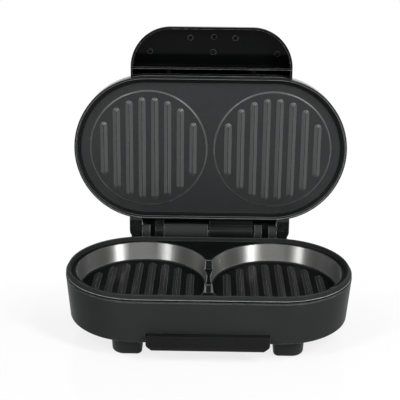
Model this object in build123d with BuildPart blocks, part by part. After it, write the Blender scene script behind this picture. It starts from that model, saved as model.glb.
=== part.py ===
from build123d import *
import math
import os

# Twin-cup breakfast sandwich maker, standing on its feet with the lid open.
# Millimetres, +Z up, +X to the right and +Y to the back. The origin is on the table, under the middle of
# the whole object's width and depth. Heights of base pieces are above the table. Lid pieces are drawn in
# the lid's own frame: x as above, y from the hinge axis out to the handle, z out of the cooking face.
os.makedirs("parts", exist_ok=True)

# ---------------------------------------------------------------- driving sizes
# Cups in the lower plate; the outlines below follow from the cup's mouth
cup_mouth_r = 58.5
cup_floor_r = cup_mouth_r - 2.0
cup_spacing = 2 * cup_mouth_r + 1.0
cup_depth = 18.0
plate_t = 2.8
cup_corner_r = 2.2
mouth_break = 0.4        # bevel round each mouth
pocket_rise = 1.0        # the front pocket's floor above the cup floors
pocket_inset = 0.5       # the pocket's front wall stands this far inside the cups' front
ridge_top_drop = 9.4     # the divider ridge's top below the land
ridge_front_y = -15.0
ridge_back_y = 17.5
rim_h = 3.6              # raised rim above the land
rim_in_r = cup_mouth_r + 3.8
rim_top_w = 1.9
rim_seam = 2.0           # open line between the rim and the housing

# Outline, shared by base and lid: two round ends joined by straight sides
end_spacing = cup_spacing + 3.0   # between the centres of the round ends
case_r = cup_mouth_r + 8.1        # radius of the base housing's top edge
case_draft = 4.3         # degrees that the housing leans in towards the bottom
case_wall = 2.4
edge_break = 0.7         # small flats that break the moulded edges

# Heights above the table
case_bottom_z = 17.0
case_top_z = 56.0
land_z = 58.0            # flat of the lower plate, level with the cups' mouths
hinge_z = 60.0

# Ribs, eight in each cup and eight on each disc of the lid
rib_count = 8
rib_reach = cup_floor_r - 7.0     # circle that the rib ends lie on
rib_edge = 7.1           # the outermost ribs stand this far inside that circle
rib_pitch = 2 * (rib_reach - rib_edge) / (rib_count - 1)
rib_w = 6.4
rib_crest = 1.2          # flat left along the top of each rib
rib_h = 2.0
rib_slope = math.degrees(math.atan((rib_w - rib_crest) / 2 / rib_h))

# Hinge
hinge_back = case_r + 15.4        # from the base's middle back to the hinge axis
lid_lean = 4.0           # degrees that the open lid leans back past upright
barrel_r = 7.5
barrel_bore_r = 5.0
base_barrel = (-43.6, -1.2)
lid_barrel = (0.0, 41.8)
base_knuckle = (43.7, 50.6)
lid_knuckle = (-52.4, -44.1)
ear_in = 65.6            # the lid's ears, outermost on the axis
ear_out = 77.3
ear_r = 6.0
ear_front = 4.5          # the ear's screw face, out from the axis
ear_corner_r = 8.0       # outer corner of each ear's free end
lug_in = 57.5            # the base's lugs, just inside the ears
lug_gap = 0.6
pin_r = 2.5
pin_gap = 0.05           # radial running clearance in the ears
ear_cap_t = 2.4          # wall left at the blind end of the ear's bore
ear_screw_in = 0.95      # the ear's screw stands this far inside the ear's middle
ear_screw_v = 7.0        # and this far out from the axis, towards the handle
swing_gap = 0.5          # clearance round what swings

# Apron behind the housing that carries the hinge
apron_top_z = 50.5
apron_foot_z = 30.0
apron_rise = 10.0
apron_wall = 2.5
stop_t = 3.0
stop_gap = 0.3
stop_top_z = 65.0
guard_top_z = 70.0       # wall behind the barrels
guard_t = 1.5
guard_gap = 1.5          # beside the lid's cable duct
duct_low, duct_high = 10.0, 30.0  # the lid's cable duct, along the hinge

# Lid
lid_top = 30.5           # dome above the hinge axis when shut
dome_crown = 2.0
dome_round = 12.0
lid_wall = 2.4
lip_gap = 0.5            # between the lid's lip and the housing's edge
lip_t = 1.9
lip_reach = 5.0          # the lip stands this far past the plate
plate_drop = 2.0         # the upper plate's face behind the hinge axis
upper_plate_t = 3.0
plate_gap = 0.3          # round the upper plate in its rebate
rebate_w = 3.4
flange_w = 3.5
flange_t = 2.0
frame_depth = 6.0        # seam between frame and dome, behind the hinge axis
frame_spigot = 3.5
disc_r = cup_floor_r - 0.4
disc_h = 1.2

# Handle on the lid
handle_w = 150.7
handle_reach = 46.0
handle_corner_r = 37.5
handle_rim = 1.0         # the open rim's plane behind the hinge axis
handle_root_d = 22.5
handle_tip_d = 9.0
handle_wall = 2.0
handle_root_t = 1.8      # wall that fits against the lid
handle_round = 3.0
handle_root_rim = 7.0    # that wall ends this far behind the hinge axis
handle_rib_at = 7.3      # from the lid's edge to the cross rib
handle_rib_t = 1.7
handle_rib_rise = 0.9
mark_r = 2.6             # ejector marks inside the handle
mark_h = 0.3

# Base grip and the notch it fills
notch_half = 52.5
notch_top_z = 26.5
grip_gap = 0.3
grip_proud = 5.4
grip_bottom_z = 12.2
grip_bevel = 3.4
grip_corner = 5.2
grip_end_round = 2.2
tongue_t = 3.4
tongue_l = 9.0

# Bottom cover, feet and pads
cover_t = 2.2
cover_lift = 0.6
cover_gap = 0.3
foot_x = end_spacing / 2 + 8.9
foot_front = case_r - 10.6        # front face of the front feet, from the base's middle
foot_w = 27.6
foot_d = 20.0
foot_corner_r = 4.5
foot_outer_r = 11.0      # the corner that follows the base's round end
foot_draft = 2.5
foot_round = 2.6         # round edge of each sole
pad_proud = 0.8
pad_sunk = 1.2
pad_r = 6.0
pad_gap = 0.1

# Heaters, shields and their fixings
tube_r = 3.25
seat_gap = 0.2           # a clamped or dropped-in piece sits this close
loop_x = cup_spacing / 2 + 37.0
loop_y = cup_floor_r - 22.5
loop_corner_r = loop_y - 6.0
loop_open = 8.0          # half the opening in the loop at the hinge side
pin_lead_r = 1.5
pin_lead_l = 4.8
post_x = cup_spacing / 2
post_r = 4.5
post_l = 9.2
shield_t = 0.6
shield_r = cup_floor_r - 4.5
shield_rim = 3.0
shield_notch = 22.0
strap_t = 1.0
strap_w = 9.0
strap_boss_r = 3.0
strap_boss_h = 3.0
strap_screw_at = 8.0
post_y = loop_y - strap_screw_at - 10.0

# Screws: shank radius, and head radius and height
m4_r, m4_head_r, m4_head_h = 2.0, 3.6, 2.4
m3_r, m3_head_r, m3_head_h = 1.5, 2.9, 1.8
ear_head_r, ear_head_h, ear_seat_r = 3.7, 1.5, 4.3
screw_gap = 0.05
way_gap = 0.3            # round a shank where it passes freely

# Leads
cable_r = 1.6
core_r = 0.8
lead_bend = 5.0
duct_r = 3.4

# ---------------------------------------------------------------- worked-out places
end_x = end_spacing / 2
cup_x = cup_spacing / 2
lip_in_r = case_r + lip_gap
lid_r = lip_in_r + lip_t
ear_screw_x = (ear_in + ear_out) / 2 - ear_screw_in
lean = math.radians(lid_lean)
# Furthest points to the front and the back set where the base's middle stands
front_reach = case_r - (case_top_z - notch_top_z) * math.tan(math.radians(case_draft)) + grip_proud
dome_edge = lid_top - dome_crown
round_y = hinge_back + lid_r - dome_round
round_top = lid_top - dome_crown * ((lid_r - dome_round) / lid_r) ** 2
back_reach = (
    hinge_back
    + round_y * math.sin(lean)
    + (round_top - dome_round) * math.cos(lean)
    + dome_round
)
base_y = (front_reach - back_reach) / 2
hinge_y = base_y + hinge_back

floor_z = land_z - cup_depth
under_z = floor_z - plate_t
ledge_z = case_top_z - 2.5
ledge_t = 3.0
cup_out_r = cup_mouth_r + plate_t
spigot_r = case_r - 2.0 - seat_gap
cover_z = case_bottom_z + cover_lift
cover_top_z = cover_z + cover_t

base = Plane(origin=(0, base_y, 0))
lid = Plane(
    origin=(0, hinge_y, hinge_z),
    x_dir=(1, 0, 0),
    z_dir=(0, -math.cos(lean), math.sin(lean)),
)
lid_middle = Plane(origin=lid.from_local_coords((0, hinge_back, 0)), x_dir=lid.x_dir, z_dir=lid.z_dir)
# Looking away from each plate's back, x to the right; distances are from that back face
under_lower = Plane(origin=(0, base_y, under_z), x_dir=(1, 0, 0), z_dir=(0, 0, -1))
plate_back = plate_drop + upper_plate_t
under_upper = Plane(origin=lid_middle.offset(-plate_back).origin, x_dir=(1, 0, 0), z_dir=-lid.z_dir)


def case_radius(z):
    """Radius of the housing's drafted outside at a height."""
    return case_r - (case_top_z - z) * math.tan(math.radians(case_draft))


def cross_plane(frame, x=0):
    """Plane across a frame at x: its x runs along the frame's y, and its y along the frame's z."""
    return Plane(origin=frame.from_local_coords((x, 0, 0)), x_dir=frame.y_dir, z_dir=frame.x_dir)


def outline(frame, corners, radii=0, x=0):
    """Closed face on the cross plane from (out, height) corners with their fillet radii."""
    with BuildSketch(cross_plane(frame, x)) as shape:
        with BuildLine():
            FilletPolyline(*corners, radius=radii, close=True)
        make_face()
    return shape.sketch.face()


def racetrack(frame, half, mode=Mode.ADD):
    """Runs a half section straight between the two end centres and turns it round both of them."""
    for face in (half, mirror(half, about=Plane(frame.origin, z_dir=frame.y_dir), mode=Mode.PRIVATE).face()):
        extrude(face, amount=end_x, both=True, mode=mode)
    for side in (-1, 1):
        centre = Vector(frame.from_local_coords((side * end_x, 0, 0)))
        moved = half.moved(Location(centre - Vector(frame.origin)))
        revolve(moved, axis=Axis(centre, frame.z_dir), revolution_arc=-180 * side, mode=mode)


def round_bar(frame, start, end, radius, mode=Mode.ADD):
    """Round bar or hole between two points of a frame."""
    first = Vector(frame.from_local_coords(start))
    last = Vector(frame.from_local_coords(end))
    with BuildSketch(Plane(first, z_dir=last - first)) as section:
        Circle(radius)
    extrude(section.sketch.face(), amount=(last - first).length, mode=mode)


def screw(frame, x, y, seat, shank_l, shank_r, head_r, head_h):
    """Pan-head screw with a cross recess: its head stands out of the seat along the frame's z."""
    round_bar(frame, (x, y, seat - shank_l), (x, y, seat), shank_r)
    seat_plane = Plane(frame.from_local_coords((x, y, seat)), x_dir=frame.x_dir, z_dir=frame.z_dir)
    with BuildSketch(seat_plane) as disc:
        Circle(head_r)
    extrude(disc.sketch.face(), amount=head_h, taper=12)
    with BuildSketch(seat_plane.offset(head_h)) as cross:
        Rectangle(head_r * 1.1, head_r * 0.24)
        Rectangle(head_r * 0.24, head_r * 1.1)
    extrude(cross.sketch.face(), amount=-head_h * 0.55, mode=Mode.SUBTRACT)


def ribs(frame, height):
    """Eight grilling ribs on each of the two round fields, with their ends on one circle."""
    for field_x in (-cup_x, cup_x):
        for index in range(rib_count):
            across = (index - (rib_count - 1) / 2) * rib_pitch
            half_length = math.sqrt(rib_reach**2 - across**2)
            origin = frame.from_local_coords((field_x + across, 0, height))
            with BuildSketch(Plane(origin, x_dir=frame.x_dir, z_dir=frame.z_dir)) as bar:
                SlotCenterToCenter(2 * half_length - rib_w, rib_w, rotation=90)
            extrude(bar.sketch.face(), amount=rib_h, taper=rib_slope)


def round_ears():
    """Cuts the round outer corner of each ear's free end."""
    for side in (-1, 1):
        centre = lid.from_local_coords((side * (ear_out - ear_corner_r), ear_corner_r - ear_r, 0))
        with BuildSketch(Plane(centre, x_dir=lid.x_dir, z_dir=lid.z_dir)) as corner:
            with Locations((side * ear_corner_r, -ear_corner_r)):
                Rectangle(2 * ear_corner_r, 2 * ear_corner_r)
            Circle(ear_corner_r, mode=Mode.SUBTRACT)
        extrude(corner.sketch.face(), amount=2 * ear_r, both=True, mode=Mode.SUBTRACT)


# ---------------------------------------------------------------- base housing
# Moulded ring wall. Its ledge carries the lower plate, and its apron carries the hinge at the back.
with BuildPart() as base_housing:
    wall_in_r = case_radius(ledge_z - ledge_t) - case_wall
    foot_r = case_radius(case_bottom_z)
    racetrack(
        base,
        outline(
            base,
            [
                (case_r - edge_break, case_top_z),
                (case_radius(case_top_z - edge_break), case_top_z - edge_break),
                (case_radius(case_bottom_z + edge_break), case_bottom_z + edge_break),
                (foot_r - edge_break, case_bottom_z),
                (foot_r - case_wall, case_bottom_z),
                (wall_in_r, ledge_z - ledge_t),
                (cup_out_r + seat_gap, ledge_z - ledge_t),
                (cup_out_r + seat_gap, ledge_z),
                (spigot_r + seat_gap, ledge_z),
                (spigot_r + seat_gap, case_top_z),
            ],
        ),
    )
    # Apron: a hollow beam across the back, open to the inside
    apron_back = hinge_back + ear_r + stop_gap + stop_t
    apron_in_y = case_r - case_wall
    apron = outline(
        base,
        [
            (apron_in_y, apron_foot_z),
            (apron_back, apron_foot_z + apron_rise),
            (apron_back, apron_top_z),
            (apron_in_y, apron_top_z),
        ],
        (0, 3.0, edge_break, 0),
    )
    apron_half = ear_out - 1.0
    extrude(apron, amount=apron_half, both=True)
    # Barrel, knuckle and lugs of the hinge stand on the apron
    for low, high in (base_barrel, base_knuckle):
        round_bar(base, (low, hinge_back, hinge_z), (high, hinge_back, hinge_z), barrel_r)
        web = outline(
            base,
            [
                (hinge_back - barrel_r + 1.0, apron_top_z - apron_wall),
                (hinge_back + barrel_r - 1.0, apron_top_z - apron_wall),
                (hinge_back + barrel_r - 1.0, hinge_z),
                (hinge_back - barrel_r + 1.0, hinge_z),
            ],
            0,
            low,
        )
        extrude(web, amount=high - low)
    for side in (-1, 1):
        lug_low, lug_high = sorted((side * lug_in, side * (ear_in - lug_gap)))
        round_bar(base, (lug_low, hinge_back, hinge_z), (lug_high, hinge_back, hinge_z), ear_r + swing_gap)
        lug = outline(
            base,
            [
                (hinge_back - ear_r, apron_top_z - apron_wall),
                (hinge_back + ear_r, apron_top_z - apron_wall),
                (hinge_back + ear_r, hinge_z),
                (hinge_back - ear_r, hinge_z),
            ],
            0,
            lug_low,
        )
        extrude(lug, amount=lug_high - lug_low)
        # Saddle under the ear, with the post that the open ear leans on
        saddle_low, saddle_high = sorted((side * (ear_in + 1.0), side * apron_half))
        saddle_top_z = hinge_z - ear_front - swing_gap - 0.6
        saddle = outline(
            base,
            [
                (apron_in_y + 1.0, apron_top_z - apron_wall),
                (apron_back, apron_top_z - apron_wall),
                (apron_back, stop_top_z),
                (apron_back - stop_t, stop_top_z),
                (apron_back - stop_t, saddle_top_z),
                (apron_in_y + 1.0, saddle_top_z),
            ],
            (0, 0, 1.0, 1.0, 0, 0),
            saddle_low,
        )
        extrude(saddle, amount=saddle_high - saddle_low)
        round_bar(
            base,
            (saddle_low, hinge_back, hinge_z),
            (saddle_high, hinge_back, hinge_z),
            ear_r + swing_gap - 0.2,
            Mode.SUBTRACT,
        )
        round_bar(base, (side * lug_in, hinge_back, hinge_z), (side * ear_out, hinge_back, hinge_z),
                  pin_r, Mode.SUBTRACT)
    # The post leans with the open lid, so that it meets the back of the ear flat
    for side in (-1, 1):
        lean_low = min(side * ear_in, side * ear_out)
        clear = outline(
            lid,
            [
                (-stop_t, -ear_r - stop_gap),
                (ear_r + stop_t, -ear_r - stop_gap),
                (ear_r + stop_t, 0),
                (-stop_t, 0),
            ],
            0,
            lean_low,
        )
        extrude(clear, amount=ear_out - ear_in, mode=Mode.SUBTRACT)
    # Wall behind the barrels, open where the lid's cable duct swings
    for low, high in ((-ear_in, duct_low - guard_gap), (duct_high + guard_gap, ear_in)):
        guard = outline(
            base,
            [
                (apron_back - guard_t, apron_top_z - apron_wall),
                (apron_back, apron_top_z - apron_wall),
                (apron_back, guard_top_z),
                (apron_back - guard_t, guard_top_z),
            ],
            (0, 0, 0.5, 0.5),
            low,
        )
        extrude(guard, amount=high - low)
    # Hollow of the apron, the bore of the barrels and the duct that joins them
    hollow = outline(
        base,
        [
            (apron_in_y - case_wall - 2.0, apron_foot_z + apron_wall + 0.5),
            (apron_back - apron_wall, apron_foot_z + apron_rise + apron_wall),
            (apron_back - apron_wall, apron_top_z - apron_wall),
            (apron_in_y - case_wall - 2.0, apron_top_z - apron_wall),
        ],
    )
    extrude(hollow, amount=apron_half - apron_wall, both=True, mode=Mode.SUBTRACT)
    for low, high in (base_barrel, base_knuckle):
        round_bar(base, (low, hinge_back, hinge_z), (high, hinge_back, hinge_z), barrel_bore_r, Mode.SUBTRACT)
    duct_x = base_barrel[0] + 13.6
    round_bar(base, (duct_x, hinge_back, apron_top_z - apron_wall - 1.0), (duct_x, hinge_back, hinge_z),
              duct_r, Mode.SUBTRACT)
    # Hole for the cord's gland
    gland_x = 30.0
    gland_r = 3.9
    gland_z = apron_foot_z + apron_rise + 5.2
    round_bar(base, (gland_x, apron_back - apron_wall - 1.0, gland_z), (gland_x, apron_back + 1.0, gland_z),
              gland_r + seat_gap, Mode.SUBTRACT)
    # Notch for the grip at the front
    notch_plane = Plane(base.from_local_coords((0, -case_r - 5.0, 0)), x_dir=(1, 0, 0), z_dir=(0, 1, 0))
    with BuildSketch(notch_plane) as notch:
        with BuildLine():
            Polyline(
                (-notch_half, -case_bottom_z + 5.0),
                (-notch_half, -notch_top_z),
                (notch_half, -notch_top_z),
                (notch_half, -case_bottom_z + 5.0),
                close=True,
            )
        make_face()
    extrude(notch.sketch.face(), amount=20.0, mode=Mode.SUBTRACT)
    # Bosses for the cover's screws, in the four corners
    boss_at = (case_radius(cover_top_z) - case_wall - 3.4) * math.sqrt(0.5)
    boss_places = [(sx * (end_x + boss_at), sy * boss_at) for sx in (-1, 1) for sy in (-1, 1)]
    boss_top_z = cover_top_z + 13.0
    for x, y in boss_places:
        round_bar(base, (x, y, cover_top_z), (x, y, boss_top_z), 4.0)
        round_bar(base, (x, y, cover_top_z), (x, y, boss_top_z - 2.0), m3_r + screw_gap, Mode.SUBTRACT)
base_housing.part.label = "base_housing"
export_step(base_housing.part, "parts/base_housing.step")

# ---------------------------------------------------------------- lower cooking plate
# Die-cast plate: two cups, the pocket between them at the front, the raised rim and the screw posts.
with BuildPart() as lower_cooking_plate:
    rim_z = land_z + rim_h
    seam_z = case_top_z + rim_seam
    racetrack(
        base,
        outline(
            base,
            [
                (0, land_z),
                (rim_in_r, land_z),
                (rim_in_r + 0.3, rim_z),
                (rim_in_r + rim_top_w, rim_z),
                (case_r - 0.3, seam_z),
                (spigot_r, seam_z),
                (spigot_r, ledge_z),
                (cup_out_r - 0.2, ledge_z),
                (cup_floor_r + plate_t, under_z),
                (0, under_z),
            ],
            (0, 1.0, 0.6, 0.6, 0, 0, 0, 0, 2.0, 0),
        ),
    )
    # Relief from below in the solid web behind the ridge
    pocket_z = floor_z + pocket_rise
    relief_front, relief_end = ridge_back_y + plate_t, cup_floor_r - plate_t
    with BuildSketch(Plane(base.from_local_coords((0, 0, under_z)))) as relief:
        with Locations((0, (relief_front + relief_end) / 2)):
            Rectangle(cup_spacing, relief_end - relief_front)
        with Locations((-cup_x, 0), (cup_x, 0)):
            Circle(cup_out_r, mode=Mode.SUBTRACT)
    extrude(relief.sketch.face(), amount=land_z - plate_t - under_z, mode=Mode.SUBTRACT)
    ridge_cut = outline(
        base,
        [
            (ridge_front_y - 1.0, land_z - ridge_top_drop),
            (ridge_back_y, land_z - ridge_top_drop),
            (ridge_back_y, rim_z + 1.0),
            (ridge_front_y - 1.0, rim_z + 1.0),
        ],
        (0, 1.2, 0, 0),
    )
    extrude(ridge_cut, amount=12.0, both=True, mode=Mode.SUBTRACT)
    for side in (-1, 1):
        cup_axis = Axis(base.from_local_coords((side * cup_x, 0, 0)), (0, 0, 1))
        cut = outline(
            base,
            [
                (0, floor_z),
                (cup_floor_r, floor_z),
                (cup_mouth_r, land_z - mouth_break),
                (cup_mouth_r + mouth_break, land_z),
                (cup_mouth_r + mouth_break, rim_z + 1.0),
                (0, rim_z + 1.0),
            ],
            (0, cup_corner_r, 0, 0, 0, 0),
        )
        revolve(cut.moved(Location((side * cup_x, 0, 0))), axis=cup_axis, mode=Mode.SUBTRACT)
    pocket = outline(
        base,
        [
            (-cup_floor_r + pocket_inset, pocket_z),
            (ridge_front_y, pocket_z),
            (ridge_front_y, rim_z + 1.0),
            (-cup_mouth_r + pocket_inset - mouth_break, rim_z + 1.0),
            (-cup_mouth_r + pocket_inset - mouth_break, land_z),
            (-cup_mouth_r + pocket_inset, land_z - mouth_break),
        ],
    )
    extrude(pocket, amount=cup_x - 20.0, both=True, mode=Mode.SUBTRACT)
    ribs(base, floor_z)
    # Posts for the long screws, and bosses for the heater's straps, the thermostat and the fuse
    for side_x in (-1, 1):
        for side_y in (-1, 1):
            x, y = side_x * post_x, side_y * post_y
            round_bar(under_lower, (x, y, -plate_t / 2), (x, y, post_l), post_r)
            round_bar(under_lower, (x, y, 1.5), (x, y, post_l), m4_r + screw_gap, Mode.SUBTRACT)
    fuse_x, fuse_screw_at = -33.0, 6.4
    thermostat_screw_at = 12.5
    strap_places = [(sx * post_x, sy * loop_y + s * strap_screw_at)
                    for sx in (-1, 1) for sy in (-1, 1) for s in (-1, 1)]
    lower_boss_places = strap_places + [(fuse_x, s * fuse_screw_at) for s in (-1, 1)]
    lower_boss_places += [(s * thermostat_screw_at, 0) for s in (-1, 1)]
    for x, y in lower_boss_places:
        round_bar(under_lower, (x, y, -plate_t / 2), (x, y, strap_boss_h), strap_boss_r)
        round_bar(under_lower, (x, y, 0.2), (x, y, strap_boss_h), m3_r + screw_gap, Mode.SUBTRACT)
lower_cooking_plate.part.label = "lower_cooking_plate"
export_step(lower_cooking_plate.part, "parts/lower_cooking_plate.step")

# ---------------------------------------------------------------- bottom cover
# Flat cover inside the foot of the housing, with vents and the pillars for the long plate screws.
cover_r = case_radius(cover_z) - case_wall - cover_gap
pillar_r = 5.0
shield_z = under_z - post_l - shield_t
tongue_x = 32.0
tongue_screw_y = -(cover_r - 5.0)
with BuildPart() as bottom_cover:
    sheet = [(0, cover_z), (cover_r, cover_z), (cover_r, cover_top_z), (0, cover_top_z)]
    racetrack(base, outline(base, sheet))
    for side_x in (-1, 1):
        for side_y in (-1, 1):
            x, y = side_x * post_x, side_y * post_y
            round_bar(base, (x, y, cover_z + cover_t / 2), (x, y, shield_z), pillar_r)
            round_bar(base, (x, y, cover_z - 1.0), (x, y, shield_z), m4_r + way_gap, Mode.SUBTRACT)
            round_bar(base, (x, y, cover_z - 1.0), (x, y, cover_z + m4_head_h + 0.4), m4_head_r + way_gap,
                      Mode.SUBTRACT)
    for x, y in boss_places + [(-tongue_x, tongue_screw_y), (tongue_x, tongue_screw_y)]:
        round_bar(base, (x, y, cover_z - 1.0), (x, y, cover_top_z + 1.0), m3_r + way_gap, Mode.SUBTRACT)
    with BuildSketch(Plane(base.from_local_coords((0, 0, cover_z - 1.0)))) as vents:
        for centre in (-30.0, 30.0):
            with Locations((centre, 0)):
                with GridLocations(7.0, 0, 5, 1):
                    SlotCenterToCenter(22.0, 2.6, rotation=90)
    extrude(vents.sketch, amount=cover_t + 2.0, mode=Mode.SUBTRACT)
bottom_cover.part.label = "bottom_cover"
export_step(bottom_cover.part, "parts/bottom_cover.step")

with BuildPart() as cover_screws:
    head_side = Plane(origin=(0, base_y, cover_z), x_dir=(1, 0, 0), z_dir=(0, 0, -1))
    for x, y in boss_places:
        screw(head_side, x, -y, 0, 10.0, m3_r, m3_head_r, m3_head_h)
cover_screws.part.label = "cover_screws"
export_step(cover_screws.part, "parts/cover_screws.step")

with BuildPart() as plate_screws:
    seat = -(m4_head_h + 0.4)
    long_shank = under_z - 3.0 - (cover_z - seat)
    for side_x in (-1, 1):
        for side_y in (-1, 1):
            screw(head_side, side_x * post_x, side_y * post_y, seat, long_shank, m4_r, m4_head_r, m4_head_h)
plate_screws.part.label = "plate_screws"
export_step(plate_screws.part, "parts/plate_screws.step")

# ---------------------------------------------------------------- feet
# Four moulded blocks under the cover, each with a screw and a rubber pad.
foot_y = foot_front - foot_d / 2
foot_places = [(sx * foot_x, sy * foot_y) for sx in (-1, 1) for sy in (-1, 1)]
foot_screw_z = cover_z - 5.0
foot_lean = cover_z * math.tan(math.radians(foot_draft))   # the sole is this much smaller at each side
with BuildPart() as feet:
    for x, y in foot_places:
        with BuildPart(mode=Mode.PRIVATE) as foot:
            with BuildSketch(Plane(base.from_local_coords((x, y, pad_proud)))) as sole:
                Rectangle(foot_w - 2 * foot_lean, foot_d - 2 * foot_lean)
                outward = (math.copysign(foot_w, x), math.copysign(foot_w, y), 0)
                fillet(sole.vertices().sort_by_distance(outward)[0], foot_outer_r)
                fillet(sole.vertices().sort_by_distance(outward)[-3:], foot_corner_r)
            extrude(sole.sketch.face(), amount=cover_z - pad_proud, taper=-foot_draft)
            fillet(foot.faces().sort_by(Axis.Z)[0].edges(), foot_round)
        add(foot.part)
        round_bar(base, (x, y, pad_proud - 1.0), (x, y, pad_proud + pad_sunk), pad_r + pad_gap, Mode.SUBTRACT)
        round_bar(base, (x, y, pad_proud), (x, y, foot_screw_z), m3_head_r + way_gap, Mode.SUBTRACT)
        round_bar(base, (x, y, pad_proud), (x, y, cover_z + 1.0), m3_r + way_gap, Mode.SUBTRACT)
feet.part.label = "feet"
export_step(feet.part, "parts/feet.step")

with BuildPart() as foot_screws:
    foot_side = Plane(origin=(0, base_y, 0), x_dir=(1, 0, 0), z_dir=(0, 0, -1))
    for x, y in foot_places:
        screw(foot_side, x, -y, -foot_screw_z, cover_z - foot_screw_z, m3_r, m3_head_r, m3_head_h)
foot_screws.part.label = "foot_screws"
export_step(foot_screws.part, "parts/foot_screws.step")

with BuildPart() as foot_pads:
    for x, y in foot_places:
        round_bar(base, (x, y, 0), (x, y, pad_proud + pad_sunk), pad_r)
foot_pads.part.label = "foot_pads"
export_step(foot_pads.part, "parts/foot_pads.step")

# ---------------------------------------------------------------- base grip
# Moulded bar in the housing's front notch, screwed to the cover through its tongue.
grip_half = notch_half - grip_gap
grip_top_z = notch_top_z - grip_gap
grip_face_y = -front_reach
with BuildPart() as base_grip:
    bar_profile = outline(
        base,
        [
            (-(cover_r + cover_gap), grip_bottom_z),
            (grip_face_y + 1.2, grip_bottom_z),
            (grip_face_y, grip_bottom_z + grip_bevel),
            (grip_face_y, grip_top_z),
            (-(cover_r + cover_gap), grip_top_z),
        ],
        (0, 0.8, 0.8, 1.2, 0),
    )
    extrude(bar_profile, amount=grip_half, both=True)
    for side in (-1, 1):
        corner = [
            (side * grip_half, -grip_bottom_z),
            (side * (grip_half - grip_corner), -grip_bottom_z),
            (side * grip_half, -(grip_bottom_z + grip_corner)),
        ]
        with BuildSketch(Plane(base.from_local_coords((0, grip_face_y - 1.0, 0)), x_dir=(1, 0, 0),
                               z_dir=(0, 1, 0))) as corner_cut:
            with BuildLine():
                Polyline(*corner, close=True)
            make_face()
        extrude(corner_cut.sketch.face(), amount=20.0, mode=Mode.SUBTRACT)
    ends = base_grip.edges().filter_by(Axis.Z).group_by(Axis.Y)[0]
    fillet(ends, grip_end_round)
    tongue_y = -cover_r + tongue_l / 2 - 0.5
    with BuildSketch(Plane(base.from_local_coords((0, tongue_y, cover_top_z)))) as tongue:
        Rectangle(2 * grip_half - 16.0, tongue_l + 1.0)
    extrude(tongue.sketch.face(), amount=tongue_t)
    for side in (-1, 1):
        x = side * tongue_x
        round_bar(base, (x, tongue_screw_y, cover_top_z), (x, tongue_screw_y, cover_top_z + tongue_t - 0.6),
                  m3_r + screw_gap, Mode.SUBTRACT)
base_grip.part.label = "base_grip"
export_step(base_grip.part, "parts/base_grip.step")

with BuildPart() as grip_screws:
    for side in (-1, 1):
        screw(head_side, side * tongue_x, -tongue_screw_y, 0, cover_t + tongue_t - 0.8, m3_r, m3_head_r,
              m3_head_h)
grip_screws.part.label = "grip_screws"
export_step(grip_screws.part, "parts/grip_screws.step")

# ---------------------------------------------------------------- cord gland and hinge pins
with BuildPart() as cord_gland:
    cord_r = 3.2
    wall_in = apron_back - apron_wall
    round_bar(base, (gland_x, wall_in - 0.6, gland_z), (gland_x, apron_back, gland_z), gland_r)
    round_bar(base, (gland_x, apron_back, gland_z), (gland_x, apron_back + 2.0, gland_z), gland_r + 1.1)
    round_bar(base, (gland_x, wall_in - 4.0, gland_z), (gland_x, apron_back + 3.0, gland_z), cord_r,
              Mode.SUBTRACT)
cord_gland.part.label = "cord_gland"
export_step(cord_gland.part, "parts/cord_gland.step")

with BuildPart() as hinge_pins:
    for side in (-1, 1):
        round_bar(base, (side * lug_in, hinge_back, hinge_z),
                  (side * (ear_out - ear_cap_t - 0.4), hinge_back, hinge_z), pin_r)
hinge_pins.part.label = "hinge_pins"
export_step(hinge_pins.part, "parts/hinge_pins.step")

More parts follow.
